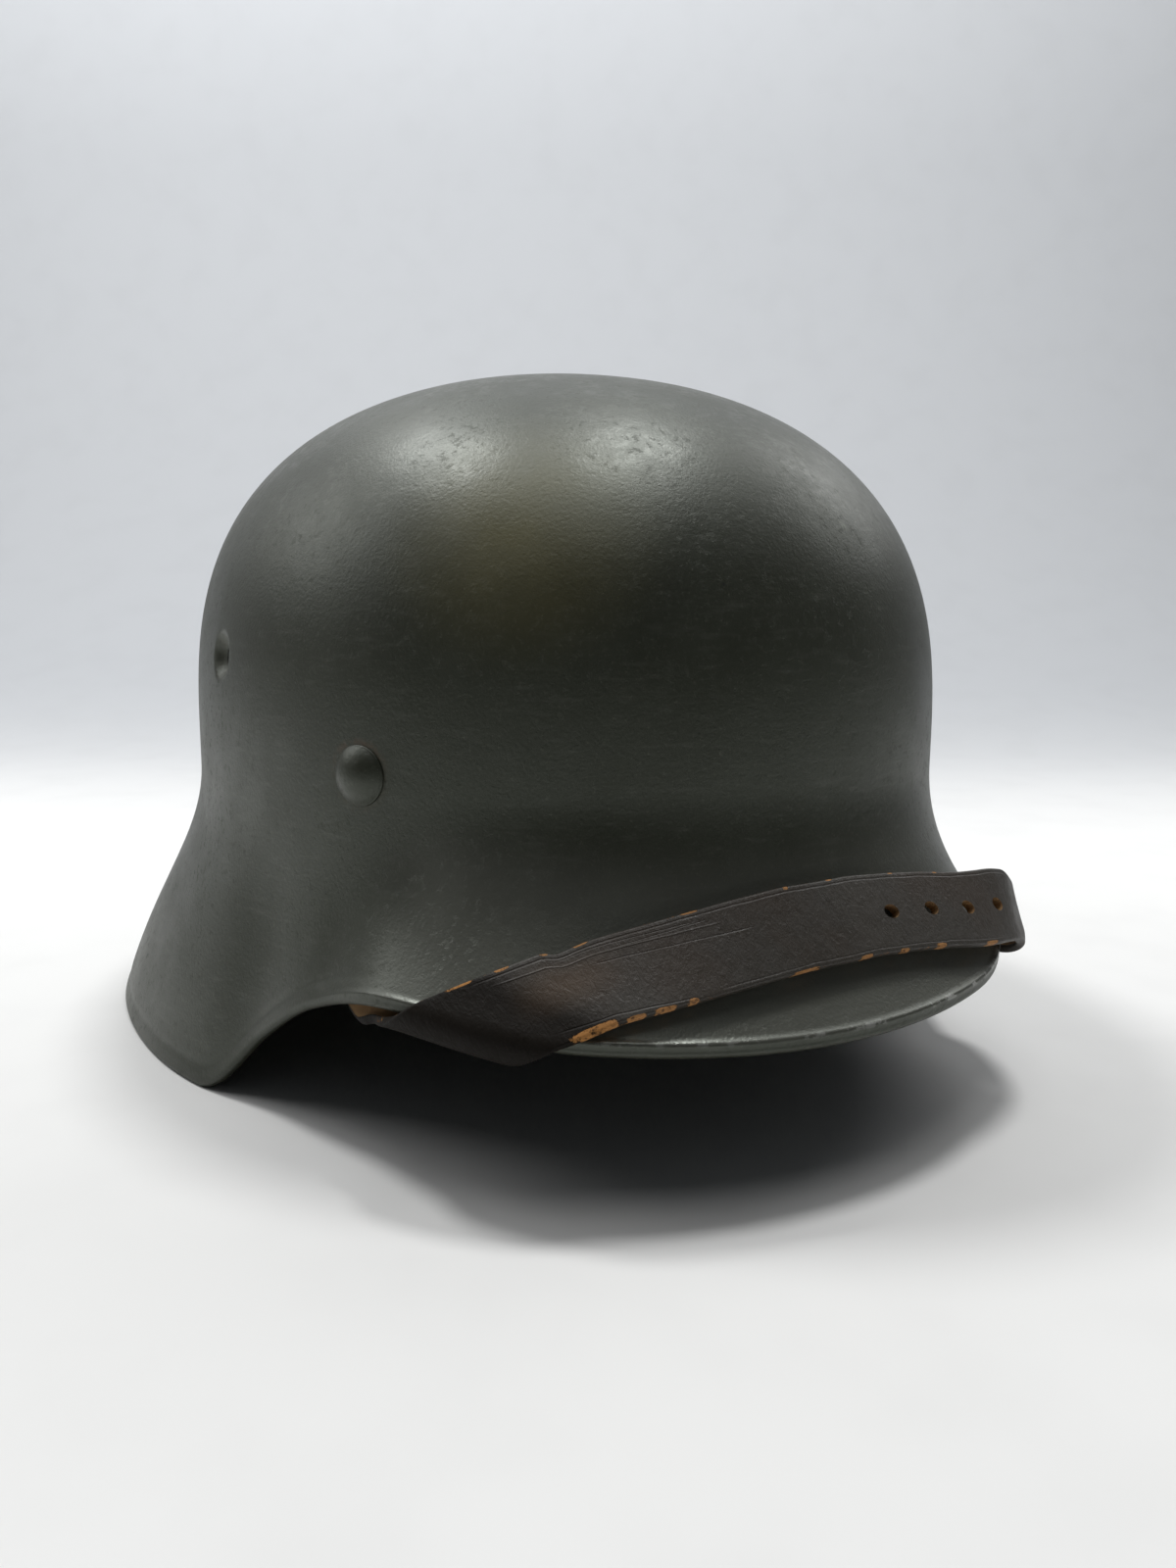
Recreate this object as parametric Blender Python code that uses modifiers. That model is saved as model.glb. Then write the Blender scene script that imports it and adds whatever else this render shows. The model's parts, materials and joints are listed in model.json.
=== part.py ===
"""A military steel helmet: a deep pressed shell with a short visor, a flared neck guard, a rolled rim,
dished vents and three domed rivets, with a leather chin strap laid over the visor.

Metres, +Z up. The front is -Y and the wearer's right is -X. The helmet stands on its rim at z = 0, and
the origin is below the middle of its bounding box. An angle is measured around the crown in degrees,
from the front, and is positive towards the wearer's right."""

import math

import bmesh
import bpy
import numpy as np
from mathutils import Matrix, Vector

MM = 0.001

# Shell
SHELL_HEIGHT = 166.5 * MM
DOME_HALF_WIDTH = 93.0 * MM
DOME_FRONT = 110.7 * MM
DOME_REAR = 115.4 * MM
DOME_BASE_HEIGHT = 75.7 * MM
SHEET = 1.2 * MM
BREAK_HEIGHT_FRONT = 74.5 * MM
BREAK_HEIGHT_SIDE = 67.2 * MM
BREAK_HEIGHT_REAR = 67.6 * MM
VISOR_RISE = 32.3 * MM
VISOR_REACH = 22.9 * MM
GUARD_RISE = 1.5 * MM
GUARD_REACH = 33.0 * MM
HEM_THICKNESS = 3.4 * MM
HEM_DEPTH = 6.0 * MM

PLAN_POWER = 2.07
DOME_POWER_ACROSS = 2.22
DOME_POWER_FRONT = 2.74
DOME_POWER_SIDE = 2.76
DOME_POWER_REAR = 2.22
SKIRT_HANDLE_TOP = 0.31
SKIRT_HANDLE_RIM = 0.49

# The rim: its height and its reach beyond the dome, and how far it leans out from upright
RIM_COLUMNS = ("angle", "rise", "reach", "lean")
RIM_ROWS = (
    (0.0, 1.00 * VISOR_RISE, 1.00 * VISOR_REACH, 48.0),
    (20.0, 1.04 * VISOR_RISE, 0.97 * VISOR_REACH, 46.0),
    (38.0, 1.14 * VISOR_RISE, 0.69 * VISOR_REACH, 45.0),
    (50.0, 0.93 * VISOR_RISE, 0.37 * VISOR_REACH, 29.0),
    (60.0, 0.57 * VISOR_RISE, 0.23 * GUARD_REACH, 20.0),
    (72.0, 1.00 * GUARD_RISE, 0.40 * GUARD_REACH, 11.0),
    (92.0, 1.10 * GUARD_RISE, 0.58 * GUARD_REACH, 13.0),
    (130.0, 1.20 * GUARD_RISE, 0.86 * GUARD_REACH, 22.0),
    (162.0, 1.00 * GUARD_RISE, 0.98 * GUARD_REACH, 32.0),
    (180.0, 1.00 * GUARD_RISE, 1.00 * GUARD_REACH, 34.0),
)

COLUMNS_AROUND = 64
DOME_STEPS = 10
SKIRT_STEPS = 7
HEM_STEPS = 5
TURN_STEPS = 16

# Rivets and vents
RIVET_HEIGHT = 75.7 * MM
RIVET_ANGLE_RIGHT = 45.6
RIVET_ANGLE_LEFT = 58.4
RIVET_HEAD = 12.6 * MM
RIVET_DOME = 2.8 * MM
RIVET_SHANK = 5.0 * MM
RIVET_COLLAR = 10.0 * MM
COLLAR_SLACK = 0.15 * MM
PRONG_LENGTH = 16.0 * MM
PRONG_WIDTH = 4.0 * MM
PRONG_THICKNESS = 1.0 * MM
PRONG_BOW = 0.7 * MM
VENT_HEIGHT = 97.3 * MM
VENT_ANGLE = 78.5
VENT_DISH = 11.6 * MM
VENT_HOLE = 4.6 * MM
VENT_DEPTH = 2.2 * MM

# Chin strap
STRAP_WIDTH = 17.0 * MM
STRAP_THICKNESS = 2.0 * MM
HOLE_LENGTH = 4.0 * MM
HOLE_WIDTH = 3.0 * MM
HOLE_SPACING = 11.9 * MM
HOLE_COUNT = 4
FIRST_HOLE_ANGLE = -10.5
GAP = 0.3 * MM
HEM_CLEARANCE = 1.2 * MM

# Strap lugs, one inside each temple
LUG_ANGLE_RIGHT = 49.5
LUG_ANGLE_LEFT = 54.5
LUG_WIDTH = 33.0 * MM
LUG_COLUMNS = 9
LUG_THICKNESS = 1.2 * MM
LUG_TOP = 84.0 * MM
LUG_SLOT_ANGLE = 52.0
LUG_BAR_TOP = 60.0 * MM
LUG_BAR = 4.0 * MM
SLOT_HEIGHT = 4.6 * MM
SLOT_CLEARANCE = 0.8 * MM

# Buckle
WIRE = 2.2 * MM
BUCKLE_HEIGHT = 12.0 * MM
TONGUE = 1.6 * MM
TONGUE_CLEARANCE = 0.4 * MM
TONGUE_SEAT = 0.2 * MM
LOOP_ROOM = 1.5 * MM
BUCKLE_TILT = 2.4 * MM
LEAD = 2.0 * MM
LEAD_DRIFT = 0.4 * MM

PAINT = ("field_paint", (0.055, 0.062, 0.052, 1.0), 0.42, 0.25)
LEATHER = ("strap_leather", (0.035, 0.024, 0.018, 1.0), 0.55, 0.0)
PLAIN_STEEL = ("plain_steel", (0.20, 0.20, 0.19, 1.0), 0.45, 1.0)


# Scene helpers

def clear_scene():
    for item in list(bpy.data.objects):
        bpy.data.objects.remove(item, do_unlink=True)


def new_collection(name):
    collection = bpy.data.collections.new(name)
    bpy.context.scene.collection.children.link(collection)
    return collection


def new_material(name, colour, roughness, metallic):
    material = bpy.data.materials.new(name)
    material.use_nodes = True
    shader = material.node_tree.nodes["Principled BSDF"]
    shader.inputs["Base Color"].default_value = colour
    shader.inputs["Roughness"].default_value = roughness
    shader.inputs["Metallic"].default_value = metallic
    return material


def mesh_object(name, points, faces, collection, material=None, smooth=30.0):
    """An object from computed points and faces, with its faces turned outward."""
    mesh = bpy.data.meshes.new(name)
    mesh.from_pydata([tuple(map(float, point)) for point in points], [], faces)
    work = bmesh.new()
    work.from_mesh(mesh)
    bmesh.ops.triangulate(work, faces=work.faces)
    bmesh.ops.recalc_face_normals(work, faces=work.faces)
    work.to_mesh(mesh)
    work.free()
    mesh.shade_smooth()
    mesh.set_sharp_from_angle(angle=math.radians(smooth))
    item = bpy.data.objects.new(name, mesh)
    collection.objects.link(item)
    if material:
        mesh.materials.append(material)
    return item


def boolean(target, other, operation):
    """Adds an exact Boolean to the target; the other object is kept as a hidden guide."""
    modifier = target.modifiers.new(operation.lower() + "_" + other.name, "BOOLEAN")
    modifier.operation = operation
    modifier.solver = "EXACT"
    modifier.object = other
    other.hide_render = True
    other.display_type = "WIRE"


# Curves and blends

def smooth_curve(knots, values):
    """A shape-preserving cubic through the knots, returned as a function of an array."""
    knots = np.asarray(knots, float)
    values = np.asarray(values, float)
    steps = np.diff(knots)
    slopes = np.diff(values) / steps
    tangents = np.zeros(len(knots))
    tangents[0] = slopes[0]
    tangents[-1] = slopes[-1]
    for i in range(1, len(knots) - 1):
        if slopes[i - 1] * slopes[i] > 0:
            w1 = 2 * steps[i] + steps[i - 1]
            w2 = steps[i] + 2 * steps[i - 1]
            tangents[i] = (w1 + w2) / (w1 / slopes[i - 1] + w2 / slopes[i])

    def evaluate(x):
        x = np.asarray(x, float)
        i = np.clip(np.searchsorted(knots, x, side="right") - 1, 0, len(steps) - 1)
        t = (x - knots[i]) / steps[i]
        rise = (1 + 2 * t) * (1 - t) ** 2 * values[i] + t * t * (3 - 2 * t) * values[i + 1]
        bend = t * (1 - t) ** 2 * tangents[i] - t * t * (1 - t) * tangents[i + 1]
        return rise + bend * steps[i]

    return evaluate


def rim_curve(column):
    """One column of the rim table as a function of the angle, even about the front and the rear."""
    index = RIM_COLUMNS.index(column)
    angles = [row[0] for row in RIM_ROWS]
    values = [row[index] for row in RIM_ROWS]
    before = [-angle for angle in angles[3:0:-1]]
    after = [360.0 - angle for angle in angles[-2:-5:-1]]
    return smooth_curve(before + angles + after, values[3:0:-1] + values + values[-2:-5:-1])


RIM_RISE = rim_curve("rise")
RIM_REACH = rim_curve("reach")
RIM_LEAN = rim_curve("lean")


def around(angle, front, side, rear):
    """Blends a front, a side and a rear value by the angle."""
    facing = math.cos(math.radians(angle))
    end = front if facing > 0 else rear
    return side + (end - side) * facing * facing


def smooth_step(value):
    value = np.clip(value, 0.0, 1.0)
    return value * value * (3 - 2 * value)


# The shell's outer skin, as a profile of (radius, height) pairs at each angle

def plan_radius(angle):
    """The dome's radius in plan: an oval, longer behind than in front."""
    forward = math.cos(math.radians(angle))
    across = math.sin(math.radians(angle))
    length = DOME_FRONT if forward > 0 else DOME_REAR
    total = abs(forward / length) ** PLAN_POWER + abs(across / DOME_HALF_WIDTH) ** PLAN_POWER
    return total ** (-1.0 / PLAN_POWER)


def dome_profile(angle):
    """From the crown down to the dome's base."""
    radius = plan_radius(angle)
    power = around(angle, DOME_POWER_FRONT, DOME_POWER_SIDE, DOME_POWER_REAR)
    turn = np.linspace(math.pi / 2, 0.0, DOME_STEPS + 1)
    out = radius * np.clip(np.cos(turn), 0.0, 1.0) ** (2.0 / DOME_POWER_ACROSS)
    up = DOME_BASE_HEIGHT + (SHELL_HEIGHT - DOME_BASE_HEIGHT) * np.sin(turn) ** (2.0 / power)
    out[0] = 0.0
    return np.stack([out, up], 1)


def skirt_profile(angle, steps):
    """From the break below the dome out to the rim, a cubic curve that starts upright."""
    angle = abs(angle)
    radius = plan_radius(angle)
    top = around(angle, BREAK_HEIGHT_FRONT, BREAK_HEIGHT_SIDE, BREAK_HEIGHT_REAR)
    rim = np.array([radius + float(RIM_REACH(angle)), float(RIM_RISE(angle))])
    depth = top - rim[1]
    lean = math.radians(float(RIM_LEAN(angle)))
    start = np.array([radius, top])
    handle_top = start + np.array([0.0, -SKIRT_HANDLE_TOP * depth])
    handle_rim = rim + SKIRT_HANDLE_RIM * depth * np.array([-math.sin(lean), math.cos(lean)])
    w = np.asarray(steps, float)[:, None]
    return ((1 - w) ** 3 * start + 3 * w * (1 - w) ** 2 * handle_top
            + 3 * w * w * (1 - w) * handle_rim + w ** 3 * rim)


def skin_profile(angle, skirt_steps):
    """The whole outer skin from the crown to the rim's crease."""
    return np.concatenate([dome_profile(angle), skirt_profile(angle, skirt_steps)])


def inward(profile):
    """Unit vectors square to a profile that runs from the crown to the rim, pointing inside."""
    along = np.gradient(profile, axis=0)
    along /= np.linalg.norm(along, axis=1)[:, None]
    return np.stack([along[:, 1], -along[:, 0]], 1)


def rim_frame(angle):
    """The rim's crease, the direction that the skirt runs in there, and the way inside."""
    ends = skirt_profile(angle, [1.0])[0]
    lean = math.radians(float(RIM_LEAN(abs(angle))))
    along = np.array([math.sin(lean), -math.cos(lean)])
    inside = np.array([-math.cos(lean), -math.sin(lean)])
    return ends, along, inside


def shell_section(angle):
    """The closed section of sheet at one angle: outer skin, rolled hem, inner skin."""
    outer = skin_profile(angle, np.linspace(0.0, 1.0, SKIRT_STEPS + 1))
    rim, along, inside = rim_frame(angle)
    half = HEM_THICKNESS / 2
    turns = np.linspace(0.0, math.pi, HEM_STEPS + 1)[1:]
    roll = [rim + inside * half * (1 - math.cos(t)) + along * half * math.sin(t) for t in turns]
    fold = rim + inside * HEM_THICKNESS - along * (HEM_DEPTH - half)

    fine = np.linspace(0.0, 1.0, 61)
    skirt = skirt_profile(angle, fine)
    lengths = np.concatenate([[0.0], np.cumsum(np.linalg.norm(np.diff(skirt, axis=0), axis=1))])
    hem_start = float(np.interp(lengths[-1] - HEM_DEPTH, lengths, fine))
    inner = skin_profile(angle, np.linspace(0.0, hem_start, SKIRT_STEPS - 1))
    inner = inner + inward(inner) * SHEET
    inner[0] = (0.0, SHELL_HEIGHT - SHEET)
    section = np.concatenate([outer, roll, [fold], inner[::-1]])
    section[:, 1] = np.maximum(section[:, 1], 0.0)
    return section


def shell_centre():
    """How far the dome's axis lies behind the middle of the shell's length."""
    front = shell_section(0.0)[:, 0].max()
    rear = shell_section(180.0)[:, 0].max()
    return (front - rear) / 2


AXIS_Y = shell_centre()


def to_world(angle, radius, height):
    turn = math.radians(angle)
    return np.array([-radius * math.sin(turn), AXIS_Y - radius * math.cos(turn), height])


def skin_radius(angle, height):
    """The outer skin's radius at a height on the dome or the skirt."""
    profile = skin_profile(angle, np.linspace(0.0, 1.0, 40))[::-1]
    return float(np.interp(height, profile[:, 1], profile[:, 0]))


def skin_frame(angle, height):
    """A matrix on the outer skin: z points outward, square to the skin, and y points up it."""
    step = 1.0 * MM
    turn = 1.0
    here = to_world(angle, skin_radius(angle, height), height)
    above = to_world(angle, skin_radius(angle, height + step), height + step)
    beside = to_world(angle + turn, skin_radius(angle + turn, height), height)
    up = Vector(above - here).normalized()
    out = Vector(np.cross(beside - here, above - here)).normalized()
    if out.dot(Vector(to_world(angle, 1.0, 0.0) - to_world(angle, 0.0, 0.0))) < 0:
        out.negate()
    right = up.cross(out).normalized()
    up = out.cross(right)
    frame = Matrix((right, up, out)).transposed().to_4x4()
    frame.translation = Vector(here)
    return frame


def wall_frame(angle, depth, height):
    """A matrix on an upright wall a depth inside the dome's radius: x along it, y up, z outward."""
    turn = 1.0
    before = to_world(angle - turn, plan_radius(angle - turn) - depth, height)
    after = to_world(angle + turn, plan_radius(angle + turn) - depth, height)
    up = Vector((0.0, 0.0, 1.0))
    out = Vector(after - before).normalized().cross(up)
    frame = Matrix((up.cross(out), up, out)).transposed().to_4x4()
    frame.translation = Vector(to_world(angle, plan_radius(angle) - depth, height))
    return frame


def loft_shell(name, collection, material):
    """Joins the sections around the crown axis into one closed solid."""
    angles = np.linspace(-180.0, 180.0, COLUMNS_AROUND, endpoint=False)
    sections = [shell_section(angle) for angle in angles]
    count = len(sections[0])
    points = [to_world(0.0, 0.0, SHELL_HEIGHT), to_world(0.0, 0.0, SHELL_HEIGHT - SHEET)]
    for angle, section in zip(angles, sections):
        points += [to_world(angle, radius, height) for radius, height in section[1:-1]]
    ring = count - 2
    faces = []
    for column in range(COLUMNS_AROUND):
        a = 2 + column * ring
        b = 2 + (column + 1) % COLUMNS_AROUND * ring
        faces.append((0, a, b))
        faces.append((1, b + ring - 1, a + ring - 1))
        faces += [(a + i, a + i + 1, b + i + 1, b + i) for i in range(ring - 1)]
    return mesh_object(name, points, faces, collection, material)


# Turned and boxed shapes

def turned(name, profile, frame, collection, material=None):
    """Spins a profile of (radius, height) pairs, outer side from top to bottom, about its frame's z."""
    mesh = bpy.data.meshes.new(name)
    mesh.from_pydata([(radius, 0.0, height) for radius, height in profile[::-1]], [],
                     [(i, i + 1) for i in range(len(profile) - 1)])
    item = bpy.data.objects.new(name, mesh)
    collection.objects.link(item)
    spin = item.modifiers.new("turn", "SCREW")
    spin.steps = TURN_STEPS
    spin.render_steps = TURN_STEPS
    spin.use_merge_vertices = True
    spin.merge_threshold = 0.00001
    item.matrix_world = frame
    if material:
        mesh.materials.append(material)
    return item


def box(name, size, frame, collection):
    mesh = bpy.data.meshes.new(name)
    work = bmesh.new()
    bmesh.ops.create_cube(work, size=1.0, matrix=Matrix.Diagonal((*size, 1.0)))
    work.to_mesh(mesh)
    work.free()
    item = bpy.data.objects.new(name, mesh)
    item.matrix_world = frame
    collection.objects.link(item)
    return item


def wire(name, points, diameter, closed, collection, material=None):
    """A round wire through the points, as a mesh that Booleans can use."""
    curve = bpy.data.curves.new(name, "CURVE")
    curve.dimensions = "3D"
    curve.bevel_depth = diameter / 2
    curve.bevel_resolution = 2
    curve.use_fill_caps = True
    spline = curve.splines.new("POLY")
    spline.points.add(len(points) - 1)
    for knot, point in zip(spline.points, points):
        knot.co = (*map(float, point), 1.0)
    spline.use_cyclic_u = closed
    drawn = bpy.data.objects.new(name + "_curve", curve)
    collection.objects.link(drawn)
    bpy.context.view_layer.update()
    ready = drawn.evaluated_get(bpy.context.evaluated_depsgraph_get())
    mesh = bpy.data.meshes.new_from_object(ready)
    bpy.data.objects.remove(drawn, do_unlink=True)
    work = bmesh.new()
    work.from_mesh(mesh)
    bmesh.ops.remove_doubles(work, verts=work.verts, dist=0.01 * MM)
    bmesh.ops.recalc_face_normals(work, faces=work.faces)
    work.to_mesh(mesh)
    work.free()
    mesh.shade_smooth()
    item = bpy.data.objects.new(name, mesh)
    collection.objects.link(item)
    if material:
        mesh.materials.clear()
        mesh.materials.append(material)
    return item


def offset(frame, x=0.0, y=0.0, z=0.0):
    return frame @ Matrix.Translation((x, y, z))


# Vents

def add_vents(shell, cutters):
    """Presses a small dish into each side of the dome, with a round hole at its bottom.

    The dish is turned by half a facet against its back, so that no edges of the two fall together."""
    dish = VENT_DISH / 2
    hole = VENT_HOLE / 2
    proud = SHEET
    slope = (dish - hole) / VENT_DEPTH
    middle = -SHEET / 2
    inner = -SHEET - GAP
    back = [(0.0, middle), (dish + SHEET, middle), (dish, inner),
            (hole + SHEET, -VENT_DEPTH - SHEET), (0.0, -VENT_DEPTH - SHEET)]
    cut = [(0.0, proud), (dish + slope * proud, proud), (hole, -VENT_DEPTH),
           (hole, -VENT_DEPTH - SHEET - proud), (0.0, -VENT_DEPTH - SHEET - proud)]
    for side, sign in (("right", 1), ("left", -1)):
        frame = skin_frame(sign * VENT_ANGLE, VENT_HEIGHT)
        turned_on = frame @ Matrix.Rotation(math.pi / TURN_STEPS, 4, "Z")
        boolean(shell, turned("vent_back_" + side, back, frame, cutters), "UNION")
        boolean(shell, turned("vent_dish_" + side, cut, turned_on, cutters), "DIFFERENCE")


# Rivets

def rivet_frames():
    return {
        "rivet_right": skin_frame(RIVET_ANGLE_RIGHT, RIVET_HEIGHT),
        "rivet_left": skin_frame(-RIVET_ANGLE_LEFT, RIVET_HEIGHT),
        "rivet_rear": skin_frame(180.0, RIVET_HEIGHT),
    }


def lug_back_depth():
    """How deep inside the outer skin the lug's back lies, with a strap's room behind it."""
    return SHEET + GAP + STRAP_THICKNESS + GAP


def rivet_depth(name):
    """How deep inside the outer skin the rivet's spread prongs start."""
    if name == "rivet_rear":
        return SHEET + GAP + PRONG_BOW
    return lug_back_depth() + LUG_THICKNESS + 2 * GAP


def rivet_profile(name):
    """Domed head, shank and, at the sides, the collar that holds the lug off the shell."""
    head = RIVET_HEAD / 2
    shank = RIVET_SHANK / 2
    ball = (head * head + RIVET_DOME * RIVET_DOME) / (2 * RIVET_DOME)
    sweep = math.asin(head / ball)
    top = GAP + RIVET_DOME
    dome = []
    for share in np.linspace(0.0, 1.0, 5):
        turn = share * sweep
        dome.append((ball * math.sin(turn), top - ball * (1 - math.cos(turn))))
    end = -rivet_depth(name) - PRONG_THICKNESS
    profile = dome + [(shank, GAP)]
    if name != "rivet_rear":
        collar = RIVET_COLLAR / 2
        collar_top = -SHEET - GAP - COLLAR_SLACK
        collar_end = -lug_back_depth() + GAP
        profile += [(shank, collar_top), (collar, collar_top), (collar, collar_end), (shank, collar_end)]
    return profile + [(shank, end), (0.0, end)]


def add_rivets(shell, parts, cutters, paint):
    """Adds the rivets and drills the shell for them. Gives the cutters of the holes, by rivet."""
    holes = {}
    for name, frame in rivet_frames().items():
        rivet = turned(name, rivet_profile(name), frame, parts, paint)
        middle = -rivet_depth(name) - PRONG_THICKNESS / 2
        prongs = box(name + "_prongs", (PRONG_WIDTH, PRONG_LENGTH, PRONG_THICKNESS),
                     offset(frame, z=middle), cutters)
        boolean(rivet, prongs, "UNION")
        radius = RIVET_SHANK / 2 + GAP
        reach = rivet_depth(name) + PRONG_THICKNESS
        hole = turned(name + "_hole", [(0.0, reach), (radius, reach), (radius, -reach), (0.0, -reach)],
                      frame, cutters)
        boolean(shell, hole, "DIFFERENCE")
        holes[name] = hole
    return holes


# Strap lugs

def add_lug(name, middle, rivet_hole, parts, cutters, steel):
    """A plain plate that hangs from the side rivet and has a slot for the strap."""
    back = lug_back_depth()
    half = math.degrees(LUG_WIDTH / 2 / plan_radius(middle))
    bottom = LUG_BAR_TOP - LUG_BAR
    points = []
    for depth in (back, back + LUG_THICKNESS):
        for height in (bottom, LUG_TOP):
            for turn in np.linspace(-half, half, LUG_COLUMNS):
                angle = middle + turn
                points.append(to_world(angle, plan_radius(angle) - depth, height))
    n = LUG_COLUMNS
    faces = []
    for i in range(n - 1):
        faces.append((i, i + 1, n + i + 1, n + i))
        faces.append((2 * n + i, 3 * n + i, 3 * n + i + 1, 2 * n + i + 1))
        faces.append((i, 2 * n + i, 2 * n + i + 1, i + 1))
        faces.append((n + i, n + i + 1, 3 * n + i + 1, 3 * n + i))
    faces.append((0, n, 3 * n, 2 * n))
    faces.append((n - 1, 3 * n - 1, 4 * n - 1, 2 * n - 1))
    lug = mesh_object(name, points, faces, parts, steel)
    boolean(lug, rivet_hole, "DIFFERENCE")
    slot_width = STRAP_WIDTH + 2 * SLOT_CLEARANCE
    slot_angle = math.copysign(LUG_SLOT_ANGLE, middle)
    slot = box(name + "_slot", (slot_width, SLOT_HEIGHT, 2 * back),
               wall_frame(slot_angle, back, LUG_BAR_TOP + SLOT_HEIGHT / 2), cutters)
    boolean(lug, slot, "DIFFERENCE")
    return lug


# Straps. A strap is a grid of points on its middle surface: rows along it, seven points across.

ACROSS = np.linspace(-1.0, 1.0, 7)
LIFT_OUT = GAP + STRAP_THICKNESS / 2
LIFT_IN = HEM_THICKNESS + HEM_CLEARANCE + STRAP_THICKNESS / 2
BEND = (LIFT_OUT + LIFT_IN) / 2
LANE_INSIDE = 3 * HEM_DEPTH


def strap_lane(angle, slack=0.0):
    """A strap's middle line in the plane at one angle, down the skirt, round the rim and up inside.

    Slack is how far its bend hangs below the rim. Gives the line's points as (radius, height) pairs and how
    far each lies above the rim's crease."""
    skirt = skirt_profile(angle, np.linspace(0.0, 1.0, 25))
    outside = skirt - inward(skirt) * LIFT_OUT
    rim, along, inside = rim_frame(angle)
    start = rim - inside * LIFT_OUT
    centre = rim + inside * (LIFT_IN - LIFT_OUT) / 2 + along * slack
    turns = np.linspace(0.0, math.pi, 13)
    bend = [centre - inside * BEND * math.cos(t) + along * BEND * math.sin(t) for t in turns]
    end = rim + inside * LIFT_IN - along * LANE_INSIDE
    outside = np.concatenate([outside[:-1], [start]])
    lane = np.concatenate([outside, bend, [end]])
    lengths = np.concatenate([[0.0], np.cumsum(np.linalg.norm(np.diff(lane, axis=0), axis=1))])
    return lane, lengths[len(outside) - 1] - lengths


def lane_point(angle, above, slack):
    lane, heights = strap_lane(angle, slack)
    radius = np.interp(-above, -heights, lane[:, 0])
    height = np.interp(-above, -heights, lane[:, 1])
    return to_world(angle, radius, height)


# The route over the visor. All but the angle are shares of the strap's width. Above is the height of the
# strap's middle over the rim's crease along the skin. The lifts say how far each edge stands off the skin,
# and the slacks how low the bend hangs below the rim.
ROUTE_COLUMNS = ("angle", "above", "upper_lift", "lower_lift", "upper_slack", "lower_slack")
ROUTE_ROWS = (
    (46.5, -1.56, 0.00, 0.00, 0.10, 0.10),
    (43.5, -1.36, 0.00, 0.00, 0.15, 0.12),
    (40.5, -1.14, 0.00, 0.00, 0.15, 0.12),
    (37.5, -0.88, 0.02, 0.00, 0.03, 0.08),
    (34.5, -0.60, 0.04, 0.00, 0.00, 0.06),
    (31.4, -0.31, 0.04, 0.00, 0.00, 0.06),
    (28.0, 0.00, 0.02, 0.00, 0.00, 0.06),
    (25.0, 0.25, 0.00, 0.00, 0.00, 0.06),
    (22.0, 0.48, 0.00, 0.04, 0.00, 0.06),
    (18.8, 0.70, 0.02, 0.08, 0.00, 0.06),
    (14.2, 0.90, 0.03, 0.11, 0.06, 0.06),
    (9.4, 1.06, 0.03, 0.11, 0.06, 0.06),
    (4.8, 1.18, 0.03, 0.11, 0.06, 0.06),
    (-0.3, 1.26, 0.02, 0.11, 0.06, 0.06),
    (-6.0, 1.27, 0.01, 0.11, 0.06, 0.06),
    (-11.0, 1.21, 0.03, 0.12, 0.06, 0.06),
    (-16.4, 1.09, 0.10, 0.15, 0.06, 0.06),
    (-21.0, 0.94, 0.22, 0.20, 0.06, 0.06),
    (-25.5, 0.77, 0.38, 0.24, 0.06, 0.06),
    (-28.5, 0.63, 0.51, 0.25, 0.06, 0.06),
    (-31.0, 0.47, 0.58, 0.22, 0.06, 0.06),
    (-33.5, 0.24, 0.54, 0.15, 0.06, 0.06),
    (-36.0, -0.03, 0.38, 0.08, 0.06, 0.06),
    (-38.5, -0.32, 0.18, 0.02, 0.10, 0.10),
    (-41.0, -0.60, 0.06, 0.00, 0.13, 0.13),
    (-43.5, -0.84, 0.00, 0.00, 0.13, 0.13),
    (-46.0, -1.04, 0.00, 0.00, 0.13, 0.13),
)
ROUTE_STEP = 3.4 * MM
STEEPEST = 5.0
FLAT_RISE = 0.12


def route_row(angle, above, slope, upper_lift, lower_lift, upper_slack, lower_slack):
    """A row of points across the strap, square to its run; slope is its rise for each metre rearward."""
    run = math.hypot(1.0, slope)
    radius = plan_radius(angle) + float(RIM_REACH(abs(angle)))
    rearward = math.degrees(-slope / run / radius)
    side = math.copysign(1.0, angle)
    shares = (ACROSS + 1) / 2
    slacks = lower_slack + (upper_slack - lower_slack) * shares
    row = []
    for share, slack in zip(ACROSS, slacks):
        half = share * STRAP_WIDTH / 2
        turn = angle + side * rearward * half
        row.append(lane_point(turn, above + half / run, slack))
    out = to_world(angle, 1.0, 0.0) - to_world(angle, 0.0, 0.0)
    lift = lower_lift + (upper_lift - lower_lift) * shares
    row = np.array(row) + out * lift[:, None]
    chord = row[-1] - row[0]
    straight = row[0] + chord * shares[:, None] * STRAP_WIDTH / np.linalg.norm(chord)
    flat = smooth_step((above - STRAP_WIDTH / 2 / run) / (FLAT_RISE * STRAP_WIDTH))
    return row + (straight - row) * flat


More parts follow.
